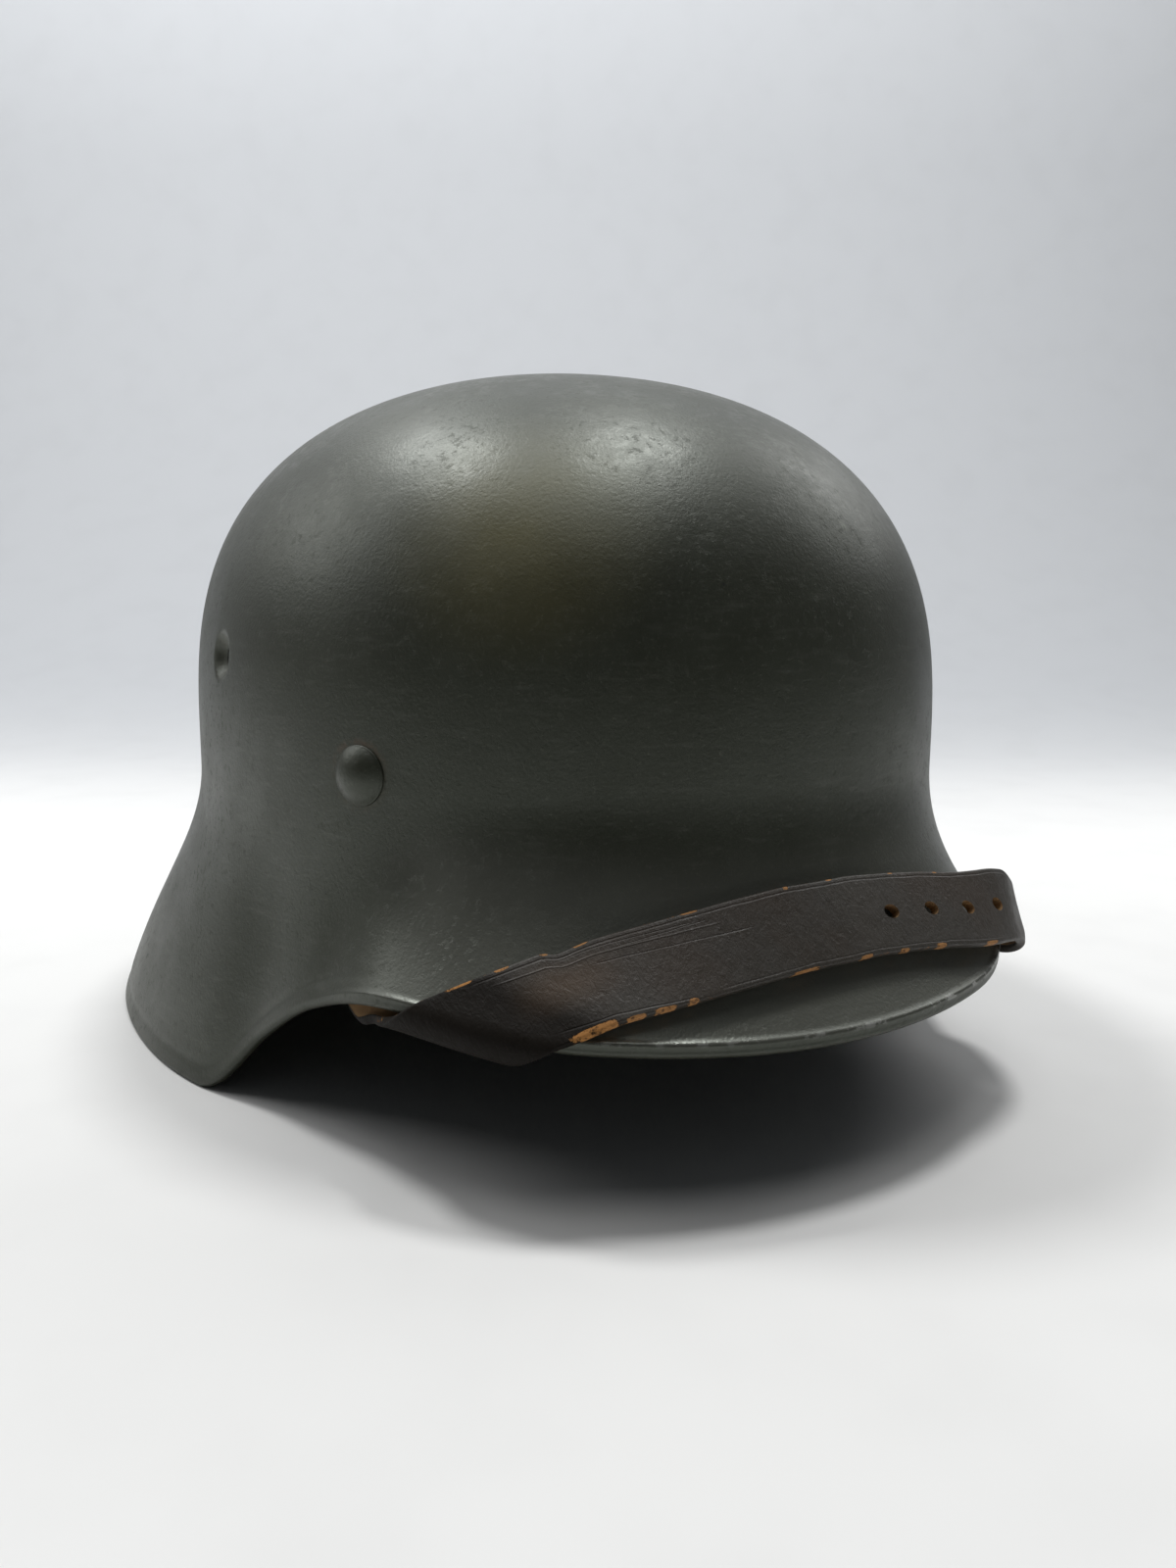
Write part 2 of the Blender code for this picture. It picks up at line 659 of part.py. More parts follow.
def route_rows():
    """The strap's rows from inside the right temple, over the visor, to inside the left temple."""
    table = np.array(ROUTE_ROWS)
    table[:, 1:] *= STRAP_WIDTH
    reach = np.array([plan_radius(angle) + float(RIM_REACH(abs(angle))) for angle in table[:, 0]])
    arc = np.radians(table[:, 0]) * reach
    lengths = np.concatenate([[0.0], np.cumsum(np.hypot(np.diff(arc), np.diff(table[:, 1])))])
    curves = [smooth_curve(lengths, table[:, column]) for column in range(table.shape[1])]
    count = int(round(lengths[-1] / ROUTE_STEP))
    nudge = ROUTE_STEP / 6
    rows = []
    for place in np.linspace(0.0, lengths[-1], count + 1):
        angle, above, *rest = (float(curve(place)) for curve in curves)
        later = min(place + nudge, lengths[-1])
        sooner = max(place - nudge, 0.0)
        radius = plan_radius(angle) + float(RIM_REACH(abs(angle)))
        moved = math.radians(abs(float(curves[0](later))) - abs(float(curves[0](sooner)))) * radius
        risen = float(curves[1](later)) - float(curves[1](sooner))
        if abs(moved) < abs(risen) / STEEPEST:
            moved = math.copysign(abs(risen) / STEEPEST, moved)
        rows.append(route_row(angle, above, risen / moved, *rest))
    return rows


def level_row(angle, height, depth):
    """A level row inside the shell, on an upright wall that lies a depth inside the dome's radius."""
    radius = plan_radius(angle) - depth
    side = math.copysign(1.0, angle)
    turn = math.degrees(STRAP_WIDTH / 2 / radius)
    return np.array([to_world(angle + side * turn * share, plan_radius(angle + side * turn * share) - depth,
                              height) for share in ACROSS])


def bridge(before, start, end, after, count):
    """Rows that carry a strap smoothly from one row to another; before and after set its direction."""
    span = np.linalg.norm(end - start, axis=1)[:, None]
    leave = (start - before) / np.linalg.norm(start - before, axis=1)[:, None] * span
    arrive = (after - end) / np.linalg.norm(after - end, axis=1)[:, None] * span
    rows = []
    for t in np.linspace(0.0, 1.0, count + 2)[1:-1]:
        rows.append((2 * t ** 3 - 3 * t * t + 1) * start + (t ** 3 - 2 * t * t + t) * leave
                    + (3 * t * t - 2 * t ** 3) * end + (t ** 3 - t * t) * arrive)
    return rows


def bend_rows(angle, height, depth, radius, start, end, count):
    """Level rows round a level bar; a turn of 0 is nearest the middle of the shell, 90 is on top."""
    rows = []
    for turn in np.radians(np.linspace(start, end, count)):
        rows.append(level_row(angle, height + radius * math.sin(turn), depth + radius * math.cos(turn)))
    return rows


def strap_solid(name, rows, parts, leather, closed=False):
    """Gives a strap's middle surface its thickness."""
    grid = np.array(rows)
    if closed:
        along = np.roll(grid, -1, axis=0) - np.roll(grid, 1, axis=0)
    else:
        along = np.gradient(grid, axis=0)
    across = np.gradient(grid, axis=1)
    normal = np.cross(along, across)
    normal /= np.linalg.norm(normal, axis=2)[:, :, None]
    sides = [grid + normal * STRAP_THICKNESS / 2, grid - normal * STRAP_THICKNESS / 2]
    count, width = grid.shape[:2]
    points = np.concatenate([side.reshape(-1, 3) for side in sides])
    second = count * width
    faces = []
    last = count if closed else count - 1
    for i in range(last):
        a = i * width
        b = (i + 1) % count * width
        for j in range(width - 1):
            faces.append((a + j, a + j + 1, b + j + 1, b + j))
            faces.append((second + a + j, second + b + j, second + b + j + 1, second + a + j + 1))
        faces.append((a, b, second + b, second + a))
        top = width - 1
        faces.append((a + top, second + a + top, second + b + top, b + top))
    if not closed:
        for i in (0, count - 1):
            a = i * width
            faces += [(a + j, a + j + 1, second + a + j + 1, second + a + j) for j in range(width - 1)]
    return mesh_object(name, points, faces, parts, leather, smooth=50.0)


# Places along the hidden ends of the strap
LUG_MIDDLE = lug_back_depth() + LUG_THICKNESS / 2
LUG_BEND = (LUG_THICKNESS + STRAP_THICKNESS) / 2 + GAP
TURN_BACK = 12.0 * MM
BUCKLE_ANGLE = -LUG_SLOT_ANGLE
LOOP_BEND = WIRE / 2 + GAP + STRAP_THICKNESS / 2
BUCKLE_TOP_DEPTH = SHEET + GAP + STRAP_THICKNESS + GAP + WIRE / 2
BUCKLE_TOP = LUG_BAR_TOP - 2 * STRAP_THICKNESS - LOOP_BEND - LOOP_ROOM
BUCKLE_LOW = BUCKLE_TOP - BUCKLE_HEIGHT
BUCKLE_LOW_DEPTH = BUCKLE_TOP_DEPTH + BUCKLE_TILT
TIP_DEPTH = BUCKLE_TOP_DEPTH + LOOP_BEND + STRAP_THICKNESS + 2 * GAP
TIP_HEIGHT = 88.0 * MM


def right_end_rows(route):
    """From the strap's turned-back end, over the lug's bar and down to the route's first row."""
    back = LUG_MIDDLE - LUG_BEND
    front = LUG_MIDDLE + LUG_BEND
    behind = [level_row(LUG_SLOT_ANGLE, LUG_BAR_TOP - TURN_BACK * share, back)
              for share in (1.0, 0.75, 0.5, 0.25)]
    over = bend_rows(LUG_SLOT_ANGLE, LUG_BAR_TOP, LUG_MIDDLE, LUG_BEND, 180.0, 0.0, 9)
    down = [level_row(LUG_SLOT_ANGLE, LUG_BAR_TOP - drop, front) for drop in (LUG_BAR / 2, LUG_BAR)]
    return behind + over + down + bridge(down[-2], down[-1], route[0], route[1], 7)


def left_end_rows(route):
    """From the route's last row, behind the buckle's low bar, over its top bar and up to the tip."""
    behind = BUCKLE_LOW_DEPTH - LOOP_BEND
    low = level_row(BUCKLE_ANGLE, BUCKLE_LOW, behind)
    low_next = level_row(BUCKLE_ANGLE, BUCKLE_LOW + LEAD, behind + LEAD_DRIFT)
    high_before = level_row(BUCKLE_ANGLE, BUCKLE_TOP - LEAD / 2, TIP_DEPTH - LEAD_DRIFT / 4)
    high = level_row(BUCKLE_ANGLE, BUCKLE_TOP + LEAD / 2, TIP_DEPTH)
    tip = [level_row(BUCKLE_ANGLE, height, TIP_DEPTH)
           for height in np.linspace(BUCKLE_TOP + 2 * LEAD, TIP_HEIGHT, 8)]
    rise = bridge(route[-2], route[-1], low, low_next, 5)
    cross = bridge(low, low_next, high_before, high, 5)
    return rise + [low, low_next] + cross + [high_before, high] + tip


def punch_holes(strap, route, cutters):
    """A row of worn, oval buckle holes along the middle of the strap."""
    grid = np.array(route)
    centres = grid[:, len(ACROSS) // 2]
    lengths = np.concatenate([[0.0], np.cumsum(np.linalg.norm(np.diff(centres, axis=0), axis=1))])
    angles = np.degrees(np.arctan2(-centres[:, 0], AXIS_Y - centres[:, 1]))
    first = float(np.interp(-FIRST_HOLE_ANGLE, -angles, lengths))
    for number in range(HOLE_COUNT):
        place = first + number * HOLE_SPACING
        row = int(np.searchsorted(lengths, place)) - 1
        share = (place - lengths[row]) / (lengths[row + 1] - lengths[row])
        here = grid[row] + (grid[row + 1] - grid[row]) * share
        x_axis = Vector(centres[row + 1] - centres[row]).normalized()
        z_axis = x_axis.cross(Vector(here[-1] - here[0])).normalized()
        frame = Matrix((x_axis, z_axis.cross(x_axis), z_axis)).transposed().to_4x4()
        frame.translation = Vector(here[len(ACROSS) // 2])
        mesh = bpy.data.meshes.new("strap_hole")
        work = bmesh.new()
        size = Matrix.Diagonal((HOLE_LENGTH / 2, HOLE_WIDTH / 2, 3 * STRAP_THICKNESS, 1.0))
        bmesh.ops.create_cone(work, cap_ends=True, segments=16, radius1=1.0, radius2=1.0, depth=1.0,
                              matrix=size)
        work.to_mesh(mesh)
        work.free()
        hole = bpy.data.objects.new("strap_hole_" + str(number + 1), mesh)
        hole.matrix_world = frame
        cutters.objects.link(hole)
        boolean(strap, hole, "DIFFERENCE")


def add_long_strap(parts, cutters, leather):
    route = route_rows()
    rows = right_end_rows(route) + route + left_end_rows(route)
    strap = strap_solid("strap_long", rows, parts, leather)
    punch_holes(strap, route, cutters)
    return strap


def add_short_strap(parts, leather):
    """A loop of strap, sewn end to end, that joins the left lug to the buckle's top bar."""
    upper = bend_rows(BUCKLE_ANGLE, LUG_BAR_TOP, LUG_MIDDLE, LUG_BEND, 180.0, 0.0, 9)
    lower = bend_rows(BUCKLE_ANGLE, BUCKLE_TOP, BUCKLE_TOP_DEPTH, LOOP_BEND, 0.0, -180.0, 9)
    return strap_solid("strap_short", upper + lower, parts, leather, closed=True)


def buckle_points(height, depth):
    """The line of one of the buckle's bars, which follows the wall."""
    half = STRAP_WIDTH / 2 + 2 * GAP + WIRE / 2
    angles = BUCKLE_ANGLE + np.degrees(half / plan_radius(BUCKLE_ANGLE)) * np.linspace(-1.0, 1.0, 7)
    return [to_world(angle, plan_radius(angle) - depth, height) for angle in angles]


def add_buckle(straps, parts, cutters, steel):
    """A plain wire frame with its tongue through a hole in the strap."""
    top = buckle_points(BUCKLE_TOP, BUCKLE_TOP_DEPTH)
    low = buckle_points(BUCKLE_LOW, BUCKLE_LOW_DEPTH)
    buckle = wire("buckle", top + low[::-1], WIRE, True, parts, steel)
    rest = BUCKLE_LOW_DEPTH + (WIRE + TONGUE) / 2 - TONGUE_SEAT
    ends = [top[len(top) // 2],
            to_world(BUCKLE_ANGLE, plan_radius(BUCKLE_ANGLE) - rest, BUCKLE_LOW - WIRE / 2)]
    boolean(buckle, wire("buckle_tongue", ends, TONGUE, False, cutters), "UNION")
    room = wire("tongue_room", ends, TONGUE + 2 * TONGUE_CLEARANCE, False, cutters)
    for strap in straps:
        boolean(strap, room, "DIFFERENCE")
    return buckle


def main():
    clear_scene()
    parts = new_collection("steel_helmet")
    cutters = new_collection("cutters")
    paint = new_material(*PAINT)
    leather = new_material(*LEATHER)
    steel = new_material(*PLAIN_STEEL)
    shell = loft_shell("shell", parts, paint)
    add_vents(shell, cutters)
    holes = add_rivets(shell, parts, cutters, paint)
    add_lug("strap_lug_right", LUG_ANGLE_RIGHT, holes["rivet_right"], parts, cutters, steel)
    add_lug("strap_lug_left", -LUG_ANGLE_LEFT, holes["rivet_left"], parts, cutters, steel)
    straps = [add_long_strap(parts, cutters, leather), add_short_strap(parts, leather)]
    add_buckle(straps, parts, cutters, steel)


main()
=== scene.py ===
"""The looks of a military steel helmet: worn field-grey paint on a pressed steel shell, domed rivets, and a
dark, worn leather chin strap laid over the visor.

The shapes repeat the formulas of the frame's parts in finer steps. Metres, +Z up. The front is -Y and the
wearer's right is -X. An angle is measured around the crown in degrees, from the front, and is positive
towards the wearer's right."""

import json
import math

import bmesh
import bpy
import numpy as np
from mathutils import Matrix, Vector

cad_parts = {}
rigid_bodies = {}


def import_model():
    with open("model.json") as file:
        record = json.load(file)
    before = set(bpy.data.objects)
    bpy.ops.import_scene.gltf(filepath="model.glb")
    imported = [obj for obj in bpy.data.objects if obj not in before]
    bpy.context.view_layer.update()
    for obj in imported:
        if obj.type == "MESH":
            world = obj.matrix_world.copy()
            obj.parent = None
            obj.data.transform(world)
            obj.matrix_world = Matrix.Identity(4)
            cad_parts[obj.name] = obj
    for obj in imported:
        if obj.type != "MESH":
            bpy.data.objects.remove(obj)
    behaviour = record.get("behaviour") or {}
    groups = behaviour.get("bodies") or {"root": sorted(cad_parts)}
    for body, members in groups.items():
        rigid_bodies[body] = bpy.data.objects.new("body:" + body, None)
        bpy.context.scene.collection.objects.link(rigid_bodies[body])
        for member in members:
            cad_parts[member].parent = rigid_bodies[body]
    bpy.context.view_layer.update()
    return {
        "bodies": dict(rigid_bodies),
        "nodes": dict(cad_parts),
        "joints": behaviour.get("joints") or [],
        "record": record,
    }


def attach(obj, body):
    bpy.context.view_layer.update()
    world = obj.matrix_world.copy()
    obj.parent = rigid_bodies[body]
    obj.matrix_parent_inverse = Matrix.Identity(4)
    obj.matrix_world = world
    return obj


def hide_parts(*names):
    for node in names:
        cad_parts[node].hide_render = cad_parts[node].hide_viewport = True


MM = 0.001

# Shell, as in the frame
SHELL_HEIGHT = 166.5 * MM
DOME_HALF_WIDTH = 93.0 * MM
DOME_FRONT = 110.7 * MM
DOME_REAR = 115.4 * MM
DOME_BASE_HEIGHT = 75.7 * MM
SHEET = 1.2 * MM
BREAK_HEIGHT_FRONT = 74.5 * MM
BREAK_HEIGHT_SIDE = 67.2 * MM
BREAK_HEIGHT_REAR = 67.6 * MM
VISOR_RISE = 32.3 * MM
VISOR_REACH = 22.9 * MM
GUARD_RISE = 1.5 * MM
GUARD_REACH = 33.0 * MM
HEM_THICKNESS = 3.4 * MM
HEM_DEPTH = 6.0 * MM
PLAN_POWER = 2.07
DOME_POWER_ACROSS = 2.22
DOME_POWER_FRONT = 2.74
DOME_POWER_SIDE = 2.76
DOME_POWER_REAR = 2.22
SKIRT_HANDLE_TOP = 0.31
SKIRT_HANDLE_RIM = 0.49
RIM_COLUMNS = ("angle", "rise", "reach", "lean")
RIM_ROWS = (
    (0.0, 1.00 * VISOR_RISE, 1.00 * VISOR_REACH, 48.0),
    (20.0, 1.04 * VISOR_RISE, 0.97 * VISOR_REACH, 46.0),
    (38.0, 1.14 * VISOR_RISE, 0.69 * VISOR_REACH, 45.0),
    (50.0, 0.93 * VISOR_RISE, 0.37 * VISOR_REACH, 29.0),
    (60.0, 0.57 * VISOR_RISE, 0.23 * GUARD_REACH, 20.0),
    (72.0, 1.00 * GUARD_RISE, 0.40 * GUARD_REACH, 11.0),
    (92.0, 1.10 * GUARD_RISE, 0.58 * GUARD_REACH, 13.0),
    (130.0, 1.20 * GUARD_RISE, 0.86 * GUARD_REACH, 22.0),
    (162.0, 1.00 * GUARD_RISE, 0.98 * GUARD_REACH, 32.0),
    (180.0, 1.00 * GUARD_RISE, 1.00 * GUARD_REACH, 34.0),
)

# Rim relief: a worn ridge along the visor's crease and a shallow groove above the rest of the rolled hem
RIDGE_HEIGHT = 0.35 * MM
RIDGE_WIDTH = 0.6 * MM
GROOVE_DEPTH = 0.22 * MM
GROOVE_WIDTH = 0.55 * MM
HEM_LINE = 3.6 * MM
HEM_LINE_DEPTH = 0.25 * MM
HEM_LINE_WIDTH = 1.1 * MM

# Rivets and vents
RIVET_HEIGHT = 75.7 * MM
RIVET_ANGLE_RIGHT = 45.6
RIVET_ANGLE_LEFT = 58.4
RIVET_HEAD = 12.6 * MM
RIVET_DOME = 2.8 * MM
RIVET_EDGE = 0.55 * MM
RIVET_SHANK = 5.0 * MM
RIVET_COLLAR = 10.0 * MM
COLLAR_SLACK = 0.15 * MM
PRONG_LENGTH = 16.0 * MM
PRONG_WIDTH = 4.0 * MM
PRONG_THICKNESS = 1.0 * MM
PRONG_BOW = 0.7 * MM
VENT_HEIGHT = 97.3 * MM
VENT_ANGLE = 78.5
VENT_DISH = 11.6 * MM
VENT_HOLE = 4.6 * MM
VENT_DEPTH = 2.2 * MM
VENT_LIP = 1.2 * MM

# Strap, lugs and buckle
STRAP_WIDTH = 17.0 * MM
STRAP_THICKNESS = 2.0 * MM
EDGE_ROUND = 0.55 * MM
HOLE_LENGTH = 4.0 * MM
HOLE_WIDTH = 3.0 * MM
HOLE_SPACING = 11.9 * MM
HOLE_COUNT = 4
FIRST_HOLE_ANGLE = -10.5
GAP = 0.3 * MM
HEM_CLEARANCE = 1.2 * MM
LUG_THICKNESS = 1.2 * MM
LUG_SLOT_ANGLE = 52.0
LUG_BAR_TOP = 60.0 * MM
LUG_BAR = 4.0 * MM
WIRE = 2.2 * MM
BUCKLE_HEIGHT = 12.0 * MM
TONGUE = 1.6 * MM
TONGUE_SEAT = 0.2 * MM
LOOP_ROOM = 1.5 * MM
BUCKLE_TILT = 2.4 * MM
LEAD = 2.0 * MM
LEAD_DRIFT = 0.4 * MM

# Camera, as fitted to the photograph
PHOTO_SIZE = (1200, 1600)
CAMERA_PLACE = (-131.4 * MM, -313.1 * MM, 113.7 * MM)
CAMERA_PITCH = -9.40
CAMERA_ROLL = 0.42
FOCAL_PIXELS = 1220.0
SENSOR = 36.0


# Curves and blends

def smooth_curve(knots, values):
    """A shape-preserving cubic through the knots, returned as a function of an array."""
    knots = np.asarray(knots, float)
    values = np.asarray(values, float)
    steps = np.diff(knots)
    slopes = np.diff(values) / steps
    tangents = np.zeros(len(knots))
    tangents[0] = slopes[0]
    tangents[-1] = slopes[-1]
    for i in range(1, len(knots) - 1):
        if slopes[i - 1] * slopes[i] > 0:
            w1 = 2 * steps[i] + steps[i - 1]
            w2 = steps[i] + 2 * steps[i - 1]
            tangents[i] = (w1 + w2) / (w1 / slopes[i - 1] + w2 / slopes[i])

    def evaluate(x):
        x = np.asarray(x, float)
        i = np.clip(np.searchsorted(knots, x, side="right") - 1, 0, len(steps) - 1)
        t = (x - knots[i]) / steps[i]
        rise = (1 + 2 * t) * (1 - t) ** 2 * values[i] + t * t * (3 - 2 * t) * values[i + 1]
        bend = t * (1 - t) ** 2 * tangents[i] - t * t * (1 - t) * tangents[i + 1]
        return rise + bend * steps[i]

    return evaluate


def rim_curve(column):
    """One column of the rim table as a function of the angle, even about the front and the rear."""
    index = RIM_COLUMNS.index(column)
    angles = [row[0] for row in RIM_ROWS]
    values = [row[index] for row in RIM_ROWS]
    before = [-angle for angle in angles[3:0:-1]]
    after = [360.0 - angle for angle in angles[-2:-5:-1]]
    return smooth_curve(before + angles + after, values[3:0:-1] + values + values[-2:-5:-1])


RIM_RISE = rim_curve("rise")
RIM_REACH = rim_curve("reach")
RIM_LEAN = rim_curve("lean")


def around(angle, front, side, rear):
    """Blends a front, a side and a rear value by the angle."""
    facing = math.cos(math.radians(angle))
    end = front if facing > 0 else rear
    return side + (end - side) * facing * facing


def smooth_step(value):
    value = np.clip(value, 0.0, 1.0)
    return value * value * (3 - 2 * value)


def bell(value, width):
    return np.exp(-(np.asarray(value) / width) ** 2)


def stretch(*ends):
    """Numbers that run evenly between neighbouring ends, given as place, step, place, step, place."""
    parts = []
    for start, step, end in zip(ends[:-2:2], ends[1::2], ends[2::2]):
        parts.append(np.linspace(start, end, max(2, int(round(abs(end - start) / step)) + 1))[:-1])
    return np.concatenate(parts + [[ends[-1]]])


# The shell's skins, as profiles of (radius, height) pairs at each angle

DOME_TURNS = stretch(math.pi / 2, 0.024, 0.24, 0.0045, 0.07, 0.012, 0.0)
SKIRT_SHARES = stretch(0.0, 0.03, 0.84, 0.008, 1.0)
INNER_TURNS = stretch(math.pi / 2, 0.05, 0.24, 0.009, 0.07, 0.02, 0.0)
INNER_SHARES = stretch(0.0, 0.05, 1.0)
ROLL_TURNS = stretch(0.0, 0.16, math.pi)[1:]
SHELL_COLUMNS = stretch(-180.0, 1.25, -VENT_ANGLE - 4.8, 0.29, -VENT_ANGLE + 4.8, 1.25,
                        VENT_ANGLE - 4.8, 0.29, VENT_ANGLE + 4.8, 1.25, 180.0)[:-1]


def plan_radius(angle):
    """The dome's radius in plan: an oval, longer behind than in front."""
    forward = math.cos(math.radians(angle))
    across = math.sin(math.radians(angle))
    length = DOME_FRONT if forward > 0 else DOME_REAR
    total = abs(forward / length) ** PLAN_POWER + abs(across / DOME_HALF_WIDTH) ** PLAN_POWER
    return total ** (-1.0 / PLAN_POWER)


def rim_radius(angle):
    return plan_radius(angle) + float(RIM_REACH(abs(angle)))


def dome_profile(angle, turn):
    """From the crown down to the dome's base."""
    radius = plan_radius(angle)
    power = around(angle, DOME_POWER_FRONT, DOME_POWER_SIDE, DOME_POWER_REAR)
    out = radius * np.clip(np.cos(turn), 0.0, 1.0) ** (2.0 / DOME_POWER_ACROSS)
    up = DOME_BASE_HEIGHT + (SHELL_HEIGHT - DOME_BASE_HEIGHT) * np.sin(turn) ** (2.0 / power)
    out[0] = 0.0
    return np.stack([out, up], 1)


def skirt_profile(angle, steps):
    """From the break below the dome out to the rim, a cubic curve that starts upright."""
    angle = abs(angle)
    radius = plan_radius(angle)
    top = around(angle, BREAK_HEIGHT_FRONT, BREAK_HEIGHT_SIDE, BREAK_HEIGHT_REAR)
    rim = np.array([radius + float(RIM_REACH(angle)), float(RIM_RISE(angle))])
    depth = top - rim[1]
    lean = math.radians(float(RIM_LEAN(angle)))
    start = np.array([radius, top])
    handle_top = start + np.array([0.0, -SKIRT_HANDLE_TOP * depth])
    handle_rim = rim + SKIRT_HANDLE_RIM * depth * np.array([-math.sin(lean), math.cos(lean)])
    w = np.asarray(steps, float)[:, None]
    return ((1 - w) ** 3 * start + 3 * w * (1 - w) ** 2 * handle_top
            + 3 * w * w * (1 - w) * handle_rim + w ** 3 * rim)


def inward(profile):
    """Unit vectors square to a profile that runs from the crown to the rim, pointing inside."""
    along = np.gradient(profile, axis=0)
    along /= np.linalg.norm(along, axis=1)[:, None]
    return np.stack([along[:, 1], -along[:, 0]], 1)


def rim_frame(angle):
    """The rim's crease, the direction that the skirt runs in there, and the way inside."""
    ends = skirt_profile(angle, [1.0])[0]
    lean = math.radians(float(RIM_LEAN(abs(angle))))
    along = np.array([math.sin(lean), -math.cos(lean)])
    inside = np.array([-math.cos(lean), -math.sin(lean)])
    return ends, along, inside


def roll_points(angle, turns):
    """Points round the rolled hem, from the crease to its inner side."""
    rim, along, inside = rim_frame(angle)
    half = HEM_THICKNESS / 2
    return np.array([rim + inside * half * (1 - math.cos(t)) + along * half * math.sin(t) for t in turns])


def path_lengths(points):
    return np.concatenate([[0.0], np.cumsum(np.linalg.norm(np.diff(points, axis=0), axis=-1))])


def rim_relief(angle, past_crease):
    """How far the skin stands out near the crease; past_crease is positive on the rolled hem."""
    front = float(smooth_step((50.0 - abs(angle)) / 12.0))
    ridge = RIDGE_HEIGHT * bell(past_crease, RIDGE_WIDTH)
    groove = GROOVE_DEPTH * bell(past_crease - 2.2 * RIDGE_WIDTH, GROOVE_WIDTH)
    line = HEM_LINE_DEPTH * bell(past_crease + HEM_LINE, HEM_LINE_WIDTH)
    return front * (ridge - groove) - (1 - front) * line


def shell_section(angle):
    """The closed section of sheet at one angle, and how far each of its points lies past the crease."""
    dome = dome_profile(angle, DOME_TURNS)
    skirt = skirt_profile(angle, SKIRT_SHARES)
    outer = np.concatenate([dome, skirt])
    rim, along, inside = rim_frame(angle)
    skin = np.concatenate([outer, roll_points(angle, ROLL_TURNS)])
    lengths = path_lengths(skin)
    past = lengths - lengths[len(outer) - 1]
    skin = skin - inward(skin) * rim_relief(angle, past)[:, None]
    fold = rim + inside * HEM_THICKNESS - along * (HEM_DEPTH - HEM_THICKNESS / 2)

    skirt_lengths = path_lengths(skirt)
    hem_start = float(np.interp(skirt_lengths[-1] - HEM_DEPTH, skirt_lengths, SKIRT_SHARES))
    inner = np.concatenate([dome_profile(angle, INNER_TURNS), skirt_profile(angle, INNER_SHARES * hem_start)])
    inner = inner + inward(inner) * SHEET
    inner[0] = (0.0, SHELL_HEIGHT - SHEET)
    section = np.concatenate([skin, [fold], inner[::-1]])
    section[:, 1] = np.maximum(section[:, 1], 0.0)
    section_past = np.concatenate([past, np.full(len(inner) + 1, past[-1] + HEM_DEPTH)])
    return section, section_past


def plain_rim_radius(angle):
    """The rim's reach at an angle: the crease, or the roll where that reaches further."""
    roll = roll_points(angle, np.linspace(0.0, math.pi, 6)[1:])
    return max(rim_frame(angle)[0][0], roll[:, 0].max())


AXIS_Y = (plain_rim_radius(0.0) - plain_rim_radius(180.0)) / 2


def to_world(angle, radius, height):
    turn = math.radians(angle)
    return np.array([-radius * math.sin(turn), AXIS_Y - radius * math.cos(turn), height])


def outward(angle):
    """The level way out from the middle at an angle."""
    return to_world(angle, 1.0, 0.0) - to_world(angle, 0.0, 0.0)


def skin_radius(angle, height):
    """The outer skin's radius at a height on the dome or the skirt."""
    profile = np.concatenate([dome_profile(angle, DOME_TURNS), skirt_profile(angle, SKIRT_SHARES)])[::-1]
    return float(np.interp(height, profile[:, 1], profile[:, 0]))


def skin_frame(angle, height):
    """A matrix on the outer skin: z points outward, square to the skin, and y points up it."""
    step = 1.0 * MM
    turn = 1.0
    here = to_world(angle, skin_radius(angle, height), height)
    above = to_world(angle, skin_radius(angle, height + step), height + step)
    beside = to_world(angle + turn, skin_radius(angle + turn, height), height)
    up = Vector(above - here).normalized()
    out = Vector(np.cross(beside - here, above - here)).normalized()
    if out.dot(Vector(outward(angle))) < 0:
        out.negate()
    right = up.cross(out).normalized()
    up = out.cross(right)
    frame = Matrix((right, up, out)).transposed().to_4x4()
    frame.translation = Vector(here)
    return frame


# Mesh helpers

def show(name, data):
    """A new object in the scene."""
    item = bpy.data.objects.new(name, data)
    bpy.context.scene.collection.objects.link(item)
    return item


def grid_faces(rows, columns, closed_rows, closed_columns):
    """Quads between neighbouring points of a grid stored row by row."""
    i = np.arange(rows if closed_rows else rows - 1)
    j = np.arange(columns if closed_columns else columns - 1)
    a, b = np.meshgrid(i, j, indexing="ij")
    after = (a + 1) % rows
    beside = (b + 1) % columns
    quads = [a * columns + b, a * columns + beside, after * columns + beside, after * columns + b]
    return np.stack(quads, -1).reshape(-1, 4)


def capped_faces(columns, ring):
    """Faces round a closed turn of columns, with a fan to point 0 at their tops and to 1 at their ends."""
    faces = [tuple(2 + corner for corner in quad) for quad in grid_faces(columns, ring, True, False)]
    for column in range(columns):
        a = 2 + column * ring
        b = 2 + (column + 1) % columns * ring
        faces.append((0, a, b))
        faces.append((1, b + ring - 1, a + ring - 1))
    return faces


def new_mesh(name, points, faces, smooth=None):
    """An object from computed points and faces, with its faces turned outward."""
    mesh = bpy.data.meshes.new(name)
    mesh.from_pydata([tuple(map(float, point)) for point in points], [], [tuple(map(int, f)) for f in faces])
    work = bmesh.new()
    work.from_mesh(mesh)
    bmesh.ops.recalc_face_normals(work, faces=work.faces)
    work.to_mesh(mesh)
    work.free()
    mesh.shade_smooth()
    if smooth:
        mesh.set_sharp_from_angle(angle=math.radians(smooth))
    return show(name, mesh)


def set_uv(item, name, values):
    """A UV map from one pair of values for each vertex."""
    mesh = item.data
    layer = mesh.uv_layers.new(name=name)
    corners = np.zeros(len(mesh.loops), int)
    mesh.loops.foreach_get("vertex_index", corners)
    layer.data.foreach_set("uv", np.asarray(values, float)[corners].ravel())


